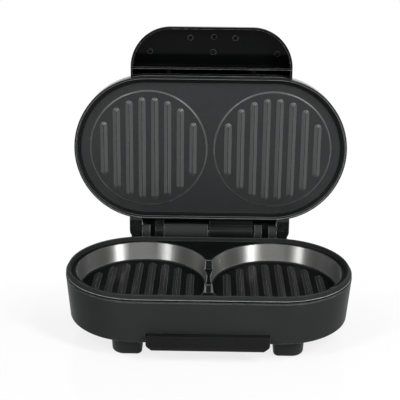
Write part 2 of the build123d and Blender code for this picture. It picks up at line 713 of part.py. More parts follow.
# ---------------------------------------------------------------- lid frame
# Moulded ring of the lid: the lip that closes over the base's rim, the plate's rebate, and the hinge.
with BuildPart() as lid_frame:
    lip_top = lip_reach - plate_drop
    rebate_r = lip_in_r - rebate_w
    flange_in_r = rebate_r - flange_w
    flange_back = -(plate_back + flange_t)
    inner_r = lid_r - lid_wall
    racetrack(
        lid_middle,
        outline(
            lid_middle,
            [
                (lid_r, lip_top),
                (lip_in_r, lip_top),
                (lip_in_r, -plate_drop),
                (rebate_r, -plate_drop),
                (rebate_r, -plate_back),
                (flange_in_r, -plate_back),
                (flange_in_r, flange_back),
                (inner_r - seat_gap - 1.8, flange_back),
                (inner_r - seat_gap - 1.8, -(frame_depth + frame_spigot)),
                (inner_r - seat_gap, -(frame_depth + frame_spigot)),
                (inner_r - seat_gap, -frame_depth),
                (lid_r, -frame_depth),
            ],
            (0.8, 0.4, 0.6, 0.5, 0, 0, 0, 0, 0, 0, 0, 0.3),
        ),
    )
    edge_v = hinge_back - lid_r
    for low, high in (lid_barrel, lid_knuckle):
        low, high = low + 0.2, high - 0.2
        round_bar(lid, (low, 0, 0), (high, 0, 0), barrel_r)
        web = outline(
            lid,
            [(0, -ear_r), (edge_v + 1.2, -frame_depth), (edge_v + 1.2, 1.5), (0, 1.5)],
            0,
            low,
        )
        extrude(web, amount=high - low)
    # Duct for the cable, from the barrel back to the dome's wall
    duct_in_x = (duct_low + duct_high) / 2
    slope_end = edge_v + 3.0
    duct = outline(
        lid,
        [(0, -2.0), (0, -barrel_r), (edge_v - seat_gap, -frame_depth - 13.0), (edge_v - seat_gap, -2.0)],
        0,
        duct_low,
    )
    extrude(duct, amount=duct_high - duct_low)
    # Front halves of the ears, clamped over the pins
    for side in (-1, 1):
        low = min(side * ear_in, side * ear_out)
        ear = outline(
            lid,
            [
                (-ear_r, 0),
                (edge_v + 2.2, 0),
                (edge_v + 2.2, lip_top),
                (edge_v - 0.8, ear_front),
                (-ear_r, ear_front),
            ],
            (0, 0, 0, 0.8, ear_front - 0.8),
            low,
        )
        extrude(ear, amount=ear_out - ear_in)
    round_ears()
    racetrack(
        lid_middle,
        outline(lid_middle, [(0, 20.0), (0, -plate_drop), (lip_in_r, -plate_drop), (lip_in_r, 20.0)]),
        Mode.SUBTRACT,
    )
    for side in (-1, 1):
        bore_low, bore_high = side * (ear_in - 1.0), side * (ear_out - ear_cap_t)
        round_bar(lid, (bore_low, 0, 0), (bore_high, 0, 0), pin_r + pin_gap, Mode.SUBTRACT)
        ear_x = side * ear_screw_x
        round_bar(lid, (ear_x, ear_screw_v, -1.0), (ear_x, ear_screw_v, ear_front + 1.0), m3_r + way_gap,
                  Mode.SUBTRACT)
        round_bar(lid, (ear_x, ear_screw_v, ear_front - 1.0), (ear_x, ear_screw_v, ear_front + 1.0),
                  ear_seat_r, Mode.SUBTRACT)
    round_bar(lid, (lid_barrel[0] - 1.0, 0, 0), (lid_barrel[1] + 1.0, 0, 0), barrel_bore_r, Mode.SUBTRACT)
    round_bar(lid, (lid_knuckle[0] - 1.0, 0, 0), (lid_knuckle[1] + 1.0, 0, 0), barrel_bore_r, Mode.SUBTRACT)
    round_bar(lid, (duct_in_x, 0, 0), (duct_in_x, slope_end, -slope_end), duct_r, Mode.SUBTRACT)
    # Lugs behind the flange for the upper plate's screws
    lug_v = flange_in_r - 4.0
    frame_lugs = [(0, lug_v), (0, -lug_v), (end_x + lug_v, 0), (-end_x - lug_v, 0)]
    boss_h = 2.4
    for x, y in frame_lugs:
        first = lid_middle.from_local_coords((x, y, flange_back - boss_h))
        with BuildSketch(Plane(first, x_dir=lid.x_dir, z_dir=lid.z_dir)) as plate_lug:
            Circle(5.0)
            with Locations((4.0 * (x > 0) - 4.0 * (x < 0), 4.0 * (y > 0) - 4.0 * (y < 0))):
                Rectangle(10.0, 10.0)
        extrude(plate_lug.sketch.face(), amount=boss_h)
        round_bar(lid_middle, (x, y, flange_back - boss_h - 1.0), (x, y, flange_back + 1.0), m3_r + way_gap,
                  Mode.SUBTRACT)
lid_frame.part.label = "lid_frame"
export_step(lid_frame.part, "parts/lid_frame.step")

# ---------------------------------------------------------------- upper cooking plate
# Die-cast plate with two raised discs, seated in the frame's rebate.
with BuildPart() as upper_cooking_plate:
    upper_r = rebate_r - plate_gap
    racetrack(
        lid_middle,
        outline(
            lid_middle,
            [(0, -plate_back), (upper_r, -plate_back), (upper_r, -plate_drop), (0, -plate_drop)],
            (0, 0, 0.6, 0),
        ),
    )
    for side in (-1, 1):
        origin = lid_middle.from_local_coords((side * cup_x, 0, -plate_drop))
        with BuildSketch(Plane(origin, x_dir=lid.x_dir, z_dir=lid.z_dir)) as disc_shape:
            Circle(disc_r)
        extrude(disc_shape.sketch.face(), amount=disc_h, taper=40)
    ribs(lid_middle, disc_h - plate_drop)
    upper_post_places = [(sx * post_x, sy * post_y) for sx in (-1, 1) for sy in (-1, 1)]
    for x, y in upper_post_places:
        round_bar(under_upper, (x, y, -upper_plate_t / 2), (x, y, post_l), post_r)
        round_bar(under_upper, (x, y, 1.0), (x, y, post_l), m3_r + screw_gap, Mode.SUBTRACT)
    for x, y in strap_places:
        round_bar(under_upper, (x, y, -upper_plate_t / 2), (x, y, strap_boss_h), strap_boss_r)
        round_bar(under_upper, (x, y, 0.2), (x, y, strap_boss_h), m3_r + screw_gap, Mode.SUBTRACT)
    for x, y in frame_lugs:
        round_bar(lid_middle, (x, y, -plate_back + 1.0), (x, y, flange_back), 3.6)
        round_bar(lid_middle, (x, y, -plate_back + 1.2), (x, y, flange_back), m3_r + screw_gap, Mode.SUBTRACT)
upper_cooking_plate.part.label = "upper_cooking_plate"
export_step(upper_cooking_plate.part, "parts/upper_cooking_plate.step")

back_side = Plane(origin=lid_middle.origin, x_dir=(1, 0, 0), z_dir=-lid.z_dir)
with BuildPart() as upper_plate_screws:
    for x, y in frame_lugs:
        screw(back_side, x, -y, -flange_back + boss_h, boss_h + flange_t - 0.4, m3_r, m3_head_r, m3_head_h)
upper_plate_screws.part.label = "upper_plate_screws"
export_step(upper_plate_screws.part, "parts/upper_plate_screws.step")

# ---------------------------------------------------------------- lid dome
# Moulded outer shell of the lid, with the back halves of the ears and two lamp holes.
lamp_x, lamp_y, lamp_r = 9.0, lid_r - 25.0, 3.2
lamp_h = dome_crown * (lamp_y / lid_r) ** 2 - lid_top
handle_screw_x, handle_screw_h = 40.0, -12.5
with BuildPart() as lid_shell:
    crown_h, edge_h = -lid_top, -dome_edge
    with BuildSketch() as dome_half:
        with BuildLine():
            TangentArc((0, crown_h), (lid_r, edge_h), tangent=(1, 0))
            Line((lid_r, edge_h), (lid_r, -frame_depth))
            Line((lid_r, -frame_depth), (inner_r, -frame_depth))
            Line((inner_r, -frame_depth), (inner_r, edge_h + lid_wall))
            TangentArc((0, crown_h + lid_wall), (inner_r, edge_h + lid_wall), tangent=(1, 0))
            Line((0, crown_h + lid_wall), (0, crown_h))
        make_face()
        for x, y, size in ((lid_r, edge_h, dome_round), (inner_r, edge_h + lid_wall, dome_round - lid_wall)):
            fillet(dome_half.vertices().sort_by_distance((x, y, 0))[0], size)
        chamfer(dome_half.vertices().sort_by_distance((lid_r, -frame_depth, 0))[0], 0.35)
    racetrack(lid_middle, cross_plane(lid_middle) * dome_half.sketch.face())
    for side in (-1, 1):
        low = min(side * ear_in, side * ear_out)
        ear_back = outline(
            lid,
            [
                (-ear_r, 0),
                (-ear_r, -ear_r),
                (ear_r + 1.0, -ear_r),
                (edge_v + 1.0, -ear_r - 4.0),
                (edge_v + 1.0, 0),
            ],
            (0, ear_r - 0.6, 2.0, 0, 0),
            low,
        )
        extrude(ear_back, amount=ear_out - ear_in)
        ear_x = side * ear_screw_x
        round_bar(lid, (side * (ear_in - 1.0), 0, 0), (side * (ear_out - ear_cap_t), 0, 0), pin_r + pin_gap,
                  Mode.SUBTRACT)
        round_bar(lid, (ear_x, ear_screw_v, -5.0), (ear_x, ear_screw_v, 1.0), m3_r + screw_gap,
                  Mode.SUBTRACT)
        round_bar(lid_middle, (side * handle_screw_x, inner_r - 1.0, handle_screw_h),
                  (side * handle_screw_x, lid_r + 1.0, handle_screw_h), m3_r + way_gap, Mode.SUBTRACT)
        round_bar(lid_middle, (side * lamp_x, lamp_y, lamp_h + lid_wall + 1.5),
                  (side * lamp_x, lamp_y, lamp_h - 1.0), lamp_r, Mode.SUBTRACT)
    round_ears()
    # The ears' backs keep clear of the frame's ring
    racetrack(
        lid_middle,
        outline(lid_middle, [(0, 5.0), (0, -frame_depth), (lid_r + 0.2, -frame_depth), (lid_r + 0.2, 5.0)]),
        Mode.SUBTRACT,
    )
    round_bar(lid, (duct_in_x, 6.0, -6.0), (duct_in_x, edge_v + 8.0, -(edge_v + 8.0)), duct_r, Mode.SUBTRACT)
lid_shell.part.label = "lid_shell"
export_step(lid_shell.part, "parts/lid_shell.step")

with BuildPart() as ear_screws:
    for side in (-1, 1):
        screw(lid, side * ear_screw_x, ear_screw_v, ear_front - 1.0, ear_front + 3.4, m3_r, ear_head_r,
              ear_head_h)
ear_screws.part.label = "ear_screws"
export_step(ear_screws.part, "parts/ear_screws.step")

# ---------------------------------------------------------------- handle
# Hollow moulding on the lid's front edge, open on the cooking side, with one cross rib at its root.
handle_v = hinge_back + lid_r
tip_v = handle_v + handle_reach


def handle_block(inset, rim, skin):
    """Solid with the handle's D outline, inset from its sides, between the rim plane and the skin."""
    half_w = handle_w / 2 - inset
    start_v = handle_v - 9.0
    with BuildPart(mode=Mode.PRIVATE) as block:
        with BuildSketch(Plane(lid.from_local_coords((0, 0, rim)), x_dir=lid.x_dir, z_dir=lid.z_dir)) as plan:
            with BuildLine():
                FilletPolyline(
                    (half_w, start_v),
                    (half_w, tip_v - inset),
                    (-half_w, tip_v - inset),
                    (-half_w, start_v),
                    radius=handle_corner_r - inset,
                )
                Line((-half_w, start_v), (half_w, start_v))
            make_face()
        extrude(plan.sketch.face(), amount=-60.0)
        point = Vector(lid.from_local_coords((0, handle_v, -handle_root_d))) + skin_normal * skin
        split(bisect_by=Plane(point, z_dir=skin_normal), keep=Keep.TOP)
    return block.part


skin_slope = (handle_root_d - handle_tip_d) / handle_reach
skin_normal = (lid.z_dir - lid.y_dir * skin_slope).normalized()
rib_v = handle_v + handle_rib_at
root_r = lid_r + seat_gap + handle_root_t
root_cut = 70.0          # deeper than the handle's block
with BuildPart() as lid_handle:
    add(handle_block(0, -handle_rim, 0))
    skin_face = lid_handle.faces().filter_by(lambda face: abs(face.normal_at().dot(skin_normal)) > 0.999)[0]
    fillet(skin_face.edges().sort_by(Axis((0, 0, 0), lid.y_dir))[1:], handle_round)
    hollow = handle_block(handle_wall, 5.0, handle_wall)
    cut_plane = Plane(lid.from_local_coords((0, rib_v + handle_rib_t, 0)), z_dir=lid.y_dir)
    strip_plane = Plane(lid.from_local_coords((0, rib_v, 0)), z_dir=lid.y_dir)
    add(split(hollow, bisect_by=cut_plane, keep=Keep.TOP, mode=Mode.PRIVATE), mode=Mode.SUBTRACT)
    with BuildPart(mode=Mode.PRIVATE) as strip:
        add(split(hollow, bisect_by=strip_plane, keep=Keep.BOTTOM, mode=Mode.PRIVATE))
        racetrack(
            lid_middle,
            outline(lid_middle, [(0, -root_cut), (root_r, -root_cut),
                                 (root_r, -handle_root_rim), (0, -handle_root_rim)]),
            Mode.SUBTRACT,
        )
    add(strip.part, mode=Mode.SUBTRACT)
    # The rib's crest stands a little above the rim and slopes to the tip
    rib = outline(
        lid,
        [
            (rib_v, -handle_rim - 2.0),
            (rib_v + handle_rib_t, -handle_rim - 2.0),
            (rib_v + handle_rib_t, -handle_rim + 0.1),
            (rib_v, -handle_rim + handle_rib_rise),
        ],
    )
    extrude(rib, amount=handle_w / 2 - 0.4, both=True)
    # Bosses for the two screws from inside the lid
    for side in (-1, 1):
        x = side * handle_screw_x
        round_bar(lid_middle, (x, lid_r - 1.0, handle_screw_h),
                  (x, lid_r + handle_rib_at + 0.5, handle_screw_h), 3.6)
    # Root cut to the lid's own outline
    racetrack(
        lid_middle,
        outline(lid_middle, [(0, -root_cut), (lid_r + seat_gap, -root_cut),
                             (lid_r + seat_gap, 20.0), (0, 20.0)]),
        Mode.SUBTRACT,
    )
    for side in (-1, 1):
        x = side * handle_screw_x
        round_bar(lid_middle, (x, lid_r, handle_screw_h), (x, lid_r + handle_rib_at - 0.4, handle_screw_h),
                  m3_r + screw_gap, Mode.SUBTRACT)
    # Ejector marks on the inside of the skin
    marks = ((-20.0, 36.0), (2.0, 37.0), (22.0, 36.0), (1.5, 22.5), (-58.0, 22.5), (61.5, 21.5))
    for mark_x, mark_v in marks:
        skin_n = -handle_root_d + mark_v * skin_slope
        on_skin = Vector(lid.from_local_coords((mark_x, handle_v + mark_v, skin_n)))
        with BuildSketch(Plane(on_skin + skin_normal * (handle_wall - 0.6), z_dir=skin_normal)) as mark:
            Circle(mark_r)
        extrude(mark.sketch.face(), amount=0.6 + mark_h)
lid_handle.part.label = "lid_handle"
export_step(lid_handle.part, "parts/lid_handle.step")

with BuildPart() as handle_screws:
    inside = Plane(origin=lid_middle.from_local_coords((0, inner_r, 0)), x_dir=(1, 0, 0), z_dir=-lid.y_dir)
    for side in (-1, 1):
        screw(inside, side * handle_screw_x, handle_screw_h, 0, lid_wall + handle_rib_at - 0.8, m3_r,
              m3_head_r, m3_head_h)
handle_screws.part.label = "handle_screws"
export_step(handle_screws.part, "parts/handle_screws.step")

# ---------------------------------------------------------------- heaters in both halves
# Each plate has a bent tube heater under four steel straps, and an aluminium shield behind it.
held_gap = 0.03
tube_h = tube_r + held_gap
for half, under, hinge_side in (("lower", under_lower, -1), ("upper", under_upper, 1)):
    with BuildPart() as heating_element:
        corners = [
            (-loop_open, hinge_side * loop_y),
            (-loop_x, hinge_side * loop_y),
            (-loop_x, -hinge_side * loop_y),
            (loop_x, -hinge_side * loop_y),
            (loop_x, hinge_side * loop_y),
            (loop_open, hinge_side * loop_y),
        ]
        points = [under.from_local_coords((x, y, tube_h)) for x, y in corners]
        with BuildLine() as loop:
            FilletPolyline(*points, radius=loop_corner_r)
        with BuildSketch(Plane(points[0], z_dir=(-1, 0, 0))) as tube:
            Circle(tube_r)
        sweep(tube.sketch.face(), path=loop.line)
        for side in (-1, 1):
            y = hinge_side * loop_y
            round_bar(under, (side * loop_open, y, tube_h), (side * (loop_open - pin_lead_l), y, tube_h),
                      pin_lead_r)
    heating_element.part.label = f"{half}_heating_element"
    export_step(heating_element.part, f"parts/{half}_heating_element.step")

    clips = [(sx * post_x, sy * loop_y, tube_r, strap_screw_at) for sx in (-1, 1) for sy in (-1, 1)]
    if half == "lower":
        clips.append((fuse_x, 0, 2.2, fuse_screw_at))
    with BuildPart() as element_clamps:
        for x, y, held_r, screw_at in clips:
            arch_r = held_r + held_gap
            with BuildSketch(cross_plane(under, x - strap_w / 2)) as strap:
                with Locations((y, held_r + held_gap)):
                    Circle(arch_r + strap_t)
                with Locations((y, strap_boss_h + strap_t / 2)):
                    Rectangle(2 * (screw_at + 3.2), strap_t)
                with Locations((y, strap_boss_h - 50.0)):
                    Rectangle(100.0, 100.0, mode=Mode.SUBTRACT)
                with Locations((y, held_r + held_gap)):
                    Circle(arch_r, mode=Mode.SUBTRACT)
            extrude(strap.sketch, amount=strap_w)
            for s in (-1, 1):
                round_bar(under, (x, y + s * screw_at, strap_boss_h - 1.0),
                          (x, y + s * screw_at, strap_boss_h + 3.0), m3_r + way_gap, Mode.SUBTRACT)
    element_clamps.part.label = f"{half}_element_clamps"
    export_step(element_clamps.part, f"parts/{half}_element_clamps.step")

    with BuildPart() as clamp_screws:
        for x, y, held_r, screw_at in clips:
            for s in (-1, 1):
                screw(under, x, y + s * screw_at, strap_boss_h + strap_t, strap_boss_h + strap_t - 0.8, m3_r,
                      m3_head_r - 0.3, m3_head_h)
    clamp_screws.part.label = f"{half}_clamp_screws"
    export_step(clamp_screws.part, f"parts/{half}_clamp_screws.step")

    with BuildPart() as heat_shield:
        racetrack(
            under,
            outline(
                under,
                [
                    (0, post_l),
                    (shield_r - shield_t, post_l),
                    (shield_r - shield_t, post_l - shield_rim),
                    (shield_r, post_l - shield_rim),
                    (shield_r, post_l + shield_t),
                    (0, post_l + shield_t),
                ],
            ),
        )
        notch_y = hinge_side * (loop_y - 1.0 + 30.0)
        with BuildSketch(Plane(under.from_local_coords((0, notch_y, 0)), x_dir=under.x_dir,
                               z_dir=under.z_dir)) as shield_gap:
            Rectangle(2 * shield_notch, 60.0)
        extrude(shield_gap.sketch.face(), amount=post_l + 5.0, mode=Mode.SUBTRACT)
        for x, y in upper_post_places:
            round_bar(under, (x, y, post_l - 1.0), (x, y, post_l + 2.0), m4_r + way_gap, Mode.SUBTRACT)
    heat_shield.part.label = f"{half}_heat_shield"
    export_step(heat_shield.part, f"parts/{half}_heat_shield.step")

with BuildPart() as shield_screws:
    for x, y in upper_post_places:
        screw(under_upper, x, y, post_l + shield_t, post_l - 1.8, m3_r, m3_head_r, m3_head_h)
shield_screws.part.label = "shield_screws"
export_step(shield_screws.part, "parts/shield_screws.step")

# ---------------------------------------------------------------- thermostat, fuse and terminals
with BuildPart() as thermostat:
    round_bar(under_lower, (0, 0, seat_gap), (0, 0, strap_boss_h), 8.3)
    with BuildSketch(Plane(under_lower.from_local_coords((0, 0, strap_boss_h)), x_dir=(1, 0, 0),
                           z_dir=under_lower.z_dir)) as flange:
        SlotCenterToCenter(2 * thermostat_screw_at, 7.0)
    extrude(flange.sketch.face(), amount=strap_t)
    round_bar(under_lower, (0, 0, strap_boss_h), (0, 0, strap_boss_h + 4.8), 7.4)
    for s in (-1, 1):
        round_bar(under_lower, (s * thermostat_screw_at, 0, strap_boss_h - 1.0),
                  (s * thermostat_screw_at, 0, strap_boss_h + 2.0), m3_r + way_gap, Mode.SUBTRACT)
thermostat.part.label = "thermostat"
export_step(thermostat.part, "parts/thermostat.step")

with BuildPart() as thermostat_screws:
    for s in (-1, 1):
        screw(under_lower, s * thermostat_screw_at, 0, strap_boss_h + strap_t, strap_boss_h + strap_t - 0.8,
              m3_r, m3_head_r - 0.3, m3_head_h)
thermostat_screws.part.label = "thermostat_screws"
export_step(thermostat_screws.part, "parts/thermostat_screws.step")

with BuildPart() as thermal_fuse:
    fuse_r, fuse_l = 2.2, 13.0
    fuse_h = fuse_r + held_gap
    round_bar(under_lower, (fuse_x - fuse_l / 2, 0, fuse_h), (fuse_x + fuse_l / 2, 0, fuse_h), fuse_r)
thermal_fuse.part.label = "thermal_fuse"
export_step(thermal_fuse.part, "parts/thermal_fuse.step")

block_y, block_half, block_top_z = cup_mouth_r - 12.5, 13.0, cover_top_z + 9.0
with BuildPart() as terminal_block:
    with BuildSketch(Plane(base.from_local_coords((0, block_y, cover_top_z)))) as block_shape:
        RectangleRounded(2 * block_half, 12.0, 1.5)
    extrude(block_shape.sketch.face(), amount=block_top_z - cover_top_z)
terminal_block.part.label = "terminal_block"
export_step(terminal_block.part, "parts/terminal_block.step")


def lead(points, radius, bends):
    """Round lead along straight runs joined by tangent arcs."""
    with BuildLine() as route:
        FilletPolyline(*points, radius=bends)
    start = Vector(points[0])
    with BuildSketch(Plane(start, z_dir=Vector(points[1]) - start)) as section:
        Circle(radius)
    sweep(section.sketch.face(), path=route.line)


with BuildPart() as base_leads:
    cable = [
        (-10.0, block_y + 2.0, block_top_z),
        (-10.0, block_y + 2.0, 34.9),
        (duct_x, cup_floor_r + 3.0, 34.9),
        (duct_x, hinge_back, 44.0),
        (duct_x, hinge_back, hinge_z),
        (base_barrel[1] + 0.3, hinge_back, hinge_z),
    ]
    lead([base.from_local_coords(p) for p in cable], cable_r, [2.5, 4.0, 5.0, lead_bend])
    pin_z = under_z - tube_h
    for side in (-1, 1):
        core = [
            (side * 5.5, loop_y + pin_lead_r, pin_z),
            (side * 5.5, block_y - 1.0, pin_z),
            (side * 5.5, block_y - 1.0, block_top_z),
        ]
        lead([base.from_local_coords(p) for p in core], core_r, [3.0])
    core = [
        (0, 7.4, under_z - strap_boss_h - 2.6),
        (0, block_y - 1.0, under_z - strap_boss_h - 2.6),
        (0, block_y - 1.0, block_top_z),
    ]
    lead([base.from_local_coords(p) for p in core], core_r, [1.8])
base_leads.part.label = "base_leads"
export_step(base_leads.part, "parts/base_leads.step")

with BuildPart() as lid_leads:
    split_v = edge_v + 5.0
    cable = [(base_barrel[1] + 0.5, 0, 0), (duct_in_x, 0, 0), (duct_in_x, split_v, -split_v)]
    lead([lid.from_local_coords(p) for p in cable], cable_r, [lead_bend])
    pin_v = hinge_back - loop_y
    pin_n = -plate_back - tube_h
    for side in (-1, 1):
        core = [
            (duct_in_x + side * 0.9, split_v + 0.1, -split_v - 0.1),
            (duct_in_x + side * 1.2, split_v + 4.0, -split_v - 1.2),
            (side * 5.5 + 1.0, pin_v - 9.0, pin_n - 1.0),
            (side * 5.5, pin_v - pin_lead_r - 0.2, pin_n),
        ]
        lead([lid.from_local_coords(p) for p in core], core_r, [2.5, 3.0])
lid_leads.part.label = "lid_leads"
export_step(lid_leads.part, "parts/lid_leads.step")

# ---------------------------------------------------------------- lamps on the dome
lens_in, lens_out, lens_skin = lamp_h + lid_wall + 1.0, lamp_h - 0.1, 0.9
with BuildPart() as lamp_lenses:
    for side in (-1, 1):
        x = side * lamp_x
        round_bar(lid_middle, (x, lamp_y, lens_in), (x, lamp_y, lens_out), lamp_r)
        round_bar(lid_middle, (x, lamp_y, lens_in + 1.0), (x, lamp_y, lens_out + lens_skin), 2.3,
                  Mode.SUBTRACT)
lamp_lenses.part.label = "lamp_lenses"
export_step(lamp_lenses.part, "parts/lamp_lenses.step")

with BuildPart() as neon_lamps:
    for side in (-1, 1):
        x = side * lamp_x
        round_bar(lid_middle, (x, lamp_y, lens_in + 4.5), (x, lamp_y, lens_out + lens_skin), 2.1)
neon_lamps.part.label = "neon_lamps"
export_step(neon_lamps.part, "parts/neon_lamps.step")
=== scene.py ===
import bpy
import math
from mathutils import Matrix, Vector


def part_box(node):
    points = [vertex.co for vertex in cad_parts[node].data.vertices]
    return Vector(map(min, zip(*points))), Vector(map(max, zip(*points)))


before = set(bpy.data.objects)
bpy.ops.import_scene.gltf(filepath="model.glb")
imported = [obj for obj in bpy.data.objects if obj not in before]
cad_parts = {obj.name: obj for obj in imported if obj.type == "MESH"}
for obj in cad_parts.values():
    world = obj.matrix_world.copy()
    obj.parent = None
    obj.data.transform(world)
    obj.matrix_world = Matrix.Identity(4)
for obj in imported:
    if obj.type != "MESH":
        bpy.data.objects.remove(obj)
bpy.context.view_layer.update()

# ---- Base housing
# Deep ring of black polypropylene that carries every other piece of the base. It is injection moulded
# in a spark-eroded tool, so its sides have a fine even grain, and a light grey painted highlight runs along
# its edges.
FRONT_TO_MIDDLE = 0.0666
BASE_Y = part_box("base_housing")[0][1] + FRONT_TO_MIDDLE
END_X = 0.0605
NUMBER, VECTOR = "NodeSocketFloat", "NodeSocketVector"


def new_tree(name, takes=(), gives=()):
    """Empty node group with named number, colour or vector sockets."""
    tree = bpy.data.node_groups.new(name, "ShaderNodeTree")
    for label, kind in takes:
        tree.interface.new_socket(name=label, in_out="INPUT", socket_type=kind)
    for label, kind in gives:
        tree.interface.new_socket(name=label, in_out="OUTPUT", socket_type=kind)
    return tree


def put(tree, kind, values=None, **settings):
    """Adds a node, sets its properties, and sets or links its inputs."""
    made = tree.nodes.new(kind)
    for key, value in settings.items():
        setattr(made, key, value)
    for key, value in (values or {}).items():
        if isinstance(value, bpy.types.NodeSocket):
            tree.links.new(value, made.inputs[key])
        else:
            made.inputs[key].default_value = value
    return made


def maths(tree, operation, first, second=0.0, clamp=False):
    """One math node; both numbers may be sockets."""
    made = put(tree, "ShaderNodeMath", {0: first, 1: second}, operation=operation, use_clamp=clamp)
    return made.outputs[0]


def within(tree, value, middle, half):
    """1 where a value lies no further than half from the middle, else 0."""
    return put(tree, "ShaderNodeMath", {0: value, 1: middle, 2: half}, operation="COMPARE").outputs[0]


def facing_of(tree, direction):
    """How far the surface faces a direction, from -1 to 1."""
    normal = put(tree, "ShaderNodeNewGeometry").outputs["Normal"]
    return put(tree, "ShaderNodeVectorMath", {0: normal, 1: tuple(direction)},
               operation="DOT_PRODUCT").outputs["Value"]


def spread(tree, value, low, high, out_low, out_high):
    """Map range from a socket."""
    return put(tree, "ShaderNodeMapRange", {"Value": value, "From Min": low, "From Max": high,
                                            "To Min": out_low, "To Max": out_high}).outputs["Result"]


def blend_colour(tree, amount, first, second):
    """Mixes two colours by a socket or a number."""
    made = put(tree, "ShaderNodeMix", {"Factor": amount}, data_type="RGBA")
    for slot, value in ((6, first), (7, second)):
        if isinstance(value, bpy.types.NodeSocket):
            tree.links.new(value, made.inputs[slot])
        else:
            made.inputs[slot].default_value = (*value, 1.0)
    return made.outputs[2]


def grain_group():
    """Spark-eroded mould grain: fine pits with a slow change of shade."""
    tree = new_tree("mould_grain", [("Size", NUMBER)],
                    [("Height", NUMBER), ("Shade", NUMBER), ("Fine", NUMBER)])
    taken, given = put(tree, "NodeGroupInput"), put(tree, "NodeGroupOutput")
    place = put(tree, "ShaderNodeTexCoord").outputs["Object"]
    per_metre = maths(tree, "DIVIDE", 1.0, taken.outputs["Size"])
    pits = put(tree, "ShaderNodeTexVoronoi", {"Vector": place, "Scale": per_metre, "Randomness": 1.0},
               feature="SMOOTH_F1")
    fine = put(tree, "ShaderNodeTexNoise", {"Vector": place, "Detail": 5.0, "Roughness": 0.62,
                                            "Scale": maths(tree, "MULTIPLY", per_metre, 0.6)})
    slow = put(tree, "ShaderNodeTexNoise", {"Vector": place, "Scale": 21.0, "Detail": 3.0,
                                            "Roughness": 0.55})
    height = maths(tree, "ADD", maths(tree, "MULTIPLY", pits.outputs["Distance"], 0.5), fine.outputs["Fac"])
    tree.links.new(height, given.inputs["Height"])
    tree.links.new(spread(tree, slow.outputs["Fac"], 0.3, 0.7, 0.0, 1.0), given.inputs["Shade"])
    tree.links.new(spread(tree, fine.outputs["Fac"], 0.35, 0.65, 0.0, 1.0), given.inputs["Fine"])
    return tree


def edge_group():
    """Edge mask for wear and for painted edge highlights: where a rounded normal differs from the true one,
    broken up by noise and kept off concave corners.
    """
    tree = new_tree("edge_wear_and_highlight", [("Width", NUMBER), ("Break", NUMBER)],
                    [("Edge", NUMBER)])
    taken, given = put(tree, "NodeGroupInput"), put(tree, "NodeGroupOutput")
    round_normal = put(tree, "ShaderNodeBevel", {"Radius": taken.outputs["Width"]}, samples=6).outputs[0]
    true_normal = put(tree, "ShaderNodeNewGeometry").outputs["Normal"]
    alike = put(tree, "ShaderNodeVectorMath", {0: round_normal, 1: true_normal}, operation="DOT_PRODUCT")
    turned = spread(tree, alike.outputs["Value"], 0.985, 0.80, 0.0, 1.0)
    place = put(tree, "ShaderNodeTexCoord").outputs["Object"]
    noise = put(tree, "ShaderNodeTexNoise", {"Vector": place, "Scale": 260.0, "Detail": 4.0,
                                             "Roughness": 0.7})
    rough = spread(tree, noise.outputs["Fac"], 0.38, 0.62, 0.0, 1.0)
    kept = maths(tree, "SUBTRACT", 1.0, maths(tree, "MULTIPLY", taken.outputs["Break"],
                                              maths(tree, "SUBTRACT", 1.0, rough)))
    open_air = put(tree, "ShaderNodeAmbientOcclusion", {"Distance": 0.002}, samples=4).outputs["AO"]
    outer = spread(tree, open_air, 0.62, 0.88, 0.0, 1.0)
    tree.links.new(maths(tree, "MULTIPLY", maths(tree, "MULTIPLY", turned, kept), outer, clamp=True),
                   given.inputs["Edge"])
    return tree


MOULD_GRAIN = grain_group()
EDGE_WEAR_AND_HIGHLIGHT = edge_group()


def new_material(name):
    """Material with a bare Principled shader."""
    made = bpy.data.materials.new(name)
    made.use_nodes = True
    tree = made.node_tree
    tree.nodes.clear()
    shader = put(tree, "ShaderNodeBsdfPrincipled")
    out = put(tree, "ShaderNodeOutputMaterial")
    tree.links.new(shader.outputs["BSDF"], out.inputs["Surface"])
    return made, tree, shader


def use_group(tree, group, **values):
    """Places a node group with its own values, with spaces in input names written as underscores."""
    made = put(tree, "ShaderNodeGroup", node_tree=group)
    for key, value in values.items():
        made.inputs[key.replace("_", " ")].default_value = value
    return made


def moulding(name, dark, light, edge, rough, rough_change, grain, grain_depth, edge_width, shine=0.5):
    """Moulded plastic: grain, slow shade, fine speckle, and a lighter edge colour that is wear on some
    parts and a painted highlight on others.
    """
    made, tree, shader = new_material(name)
    skin = use_group(tree, MOULD_GRAIN, Size=grain)
    wear_and_highlight_edge = use_group(tree, EDGE_WEAR_AND_HIGHLIGHT, Width=edge_width, Break=0.7)
    colour = blend_colour(tree, skin.outputs["Shade"], dark, light)
    speckled = blend_colour(tree, maths(tree, "MULTIPLY", skin.outputs["Fine"], 0.35), colour, light)
    # Edge colour: wear on most mouldings, a painted highlight on the housing, frame and handle.
    rubbed_and_highlit = blend_colour(tree, maths(tree, "MULTIPLY", wear_and_highlight_edge.outputs["Edge"], 0.8), speckled, edge)
    tree.links.new(rubbed_and_highlit, shader.inputs["Base Color"])
    patchy = spread(tree, skin.outputs["Shade"], 0.0, 1.0, rough - rough_change, rough + rough_change)
    smoothed = maths(tree, "SUBTRACT", patchy, maths(tree, "MULTIPLY", wear_and_highlight_edge.outputs["Edge"], 0.12))
    tree.links.new(smoothed, shader.inputs["Roughness"])
    bump = put(tree, "ShaderNodeBump", {"Strength": 1.0, "Distance": grain_depth,
                                        "Height": skin.outputs["Height"]})
    tree.links.new(bump.outputs["Normal"], shader.inputs["Normal"])
    shader.inputs["Specular IOR Level"].default_value = shine
    return made


def dress(material, *nodes):
    """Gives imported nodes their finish."""
    for node_name in nodes:
        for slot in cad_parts[node_name].material_slots:
            slot.material = material


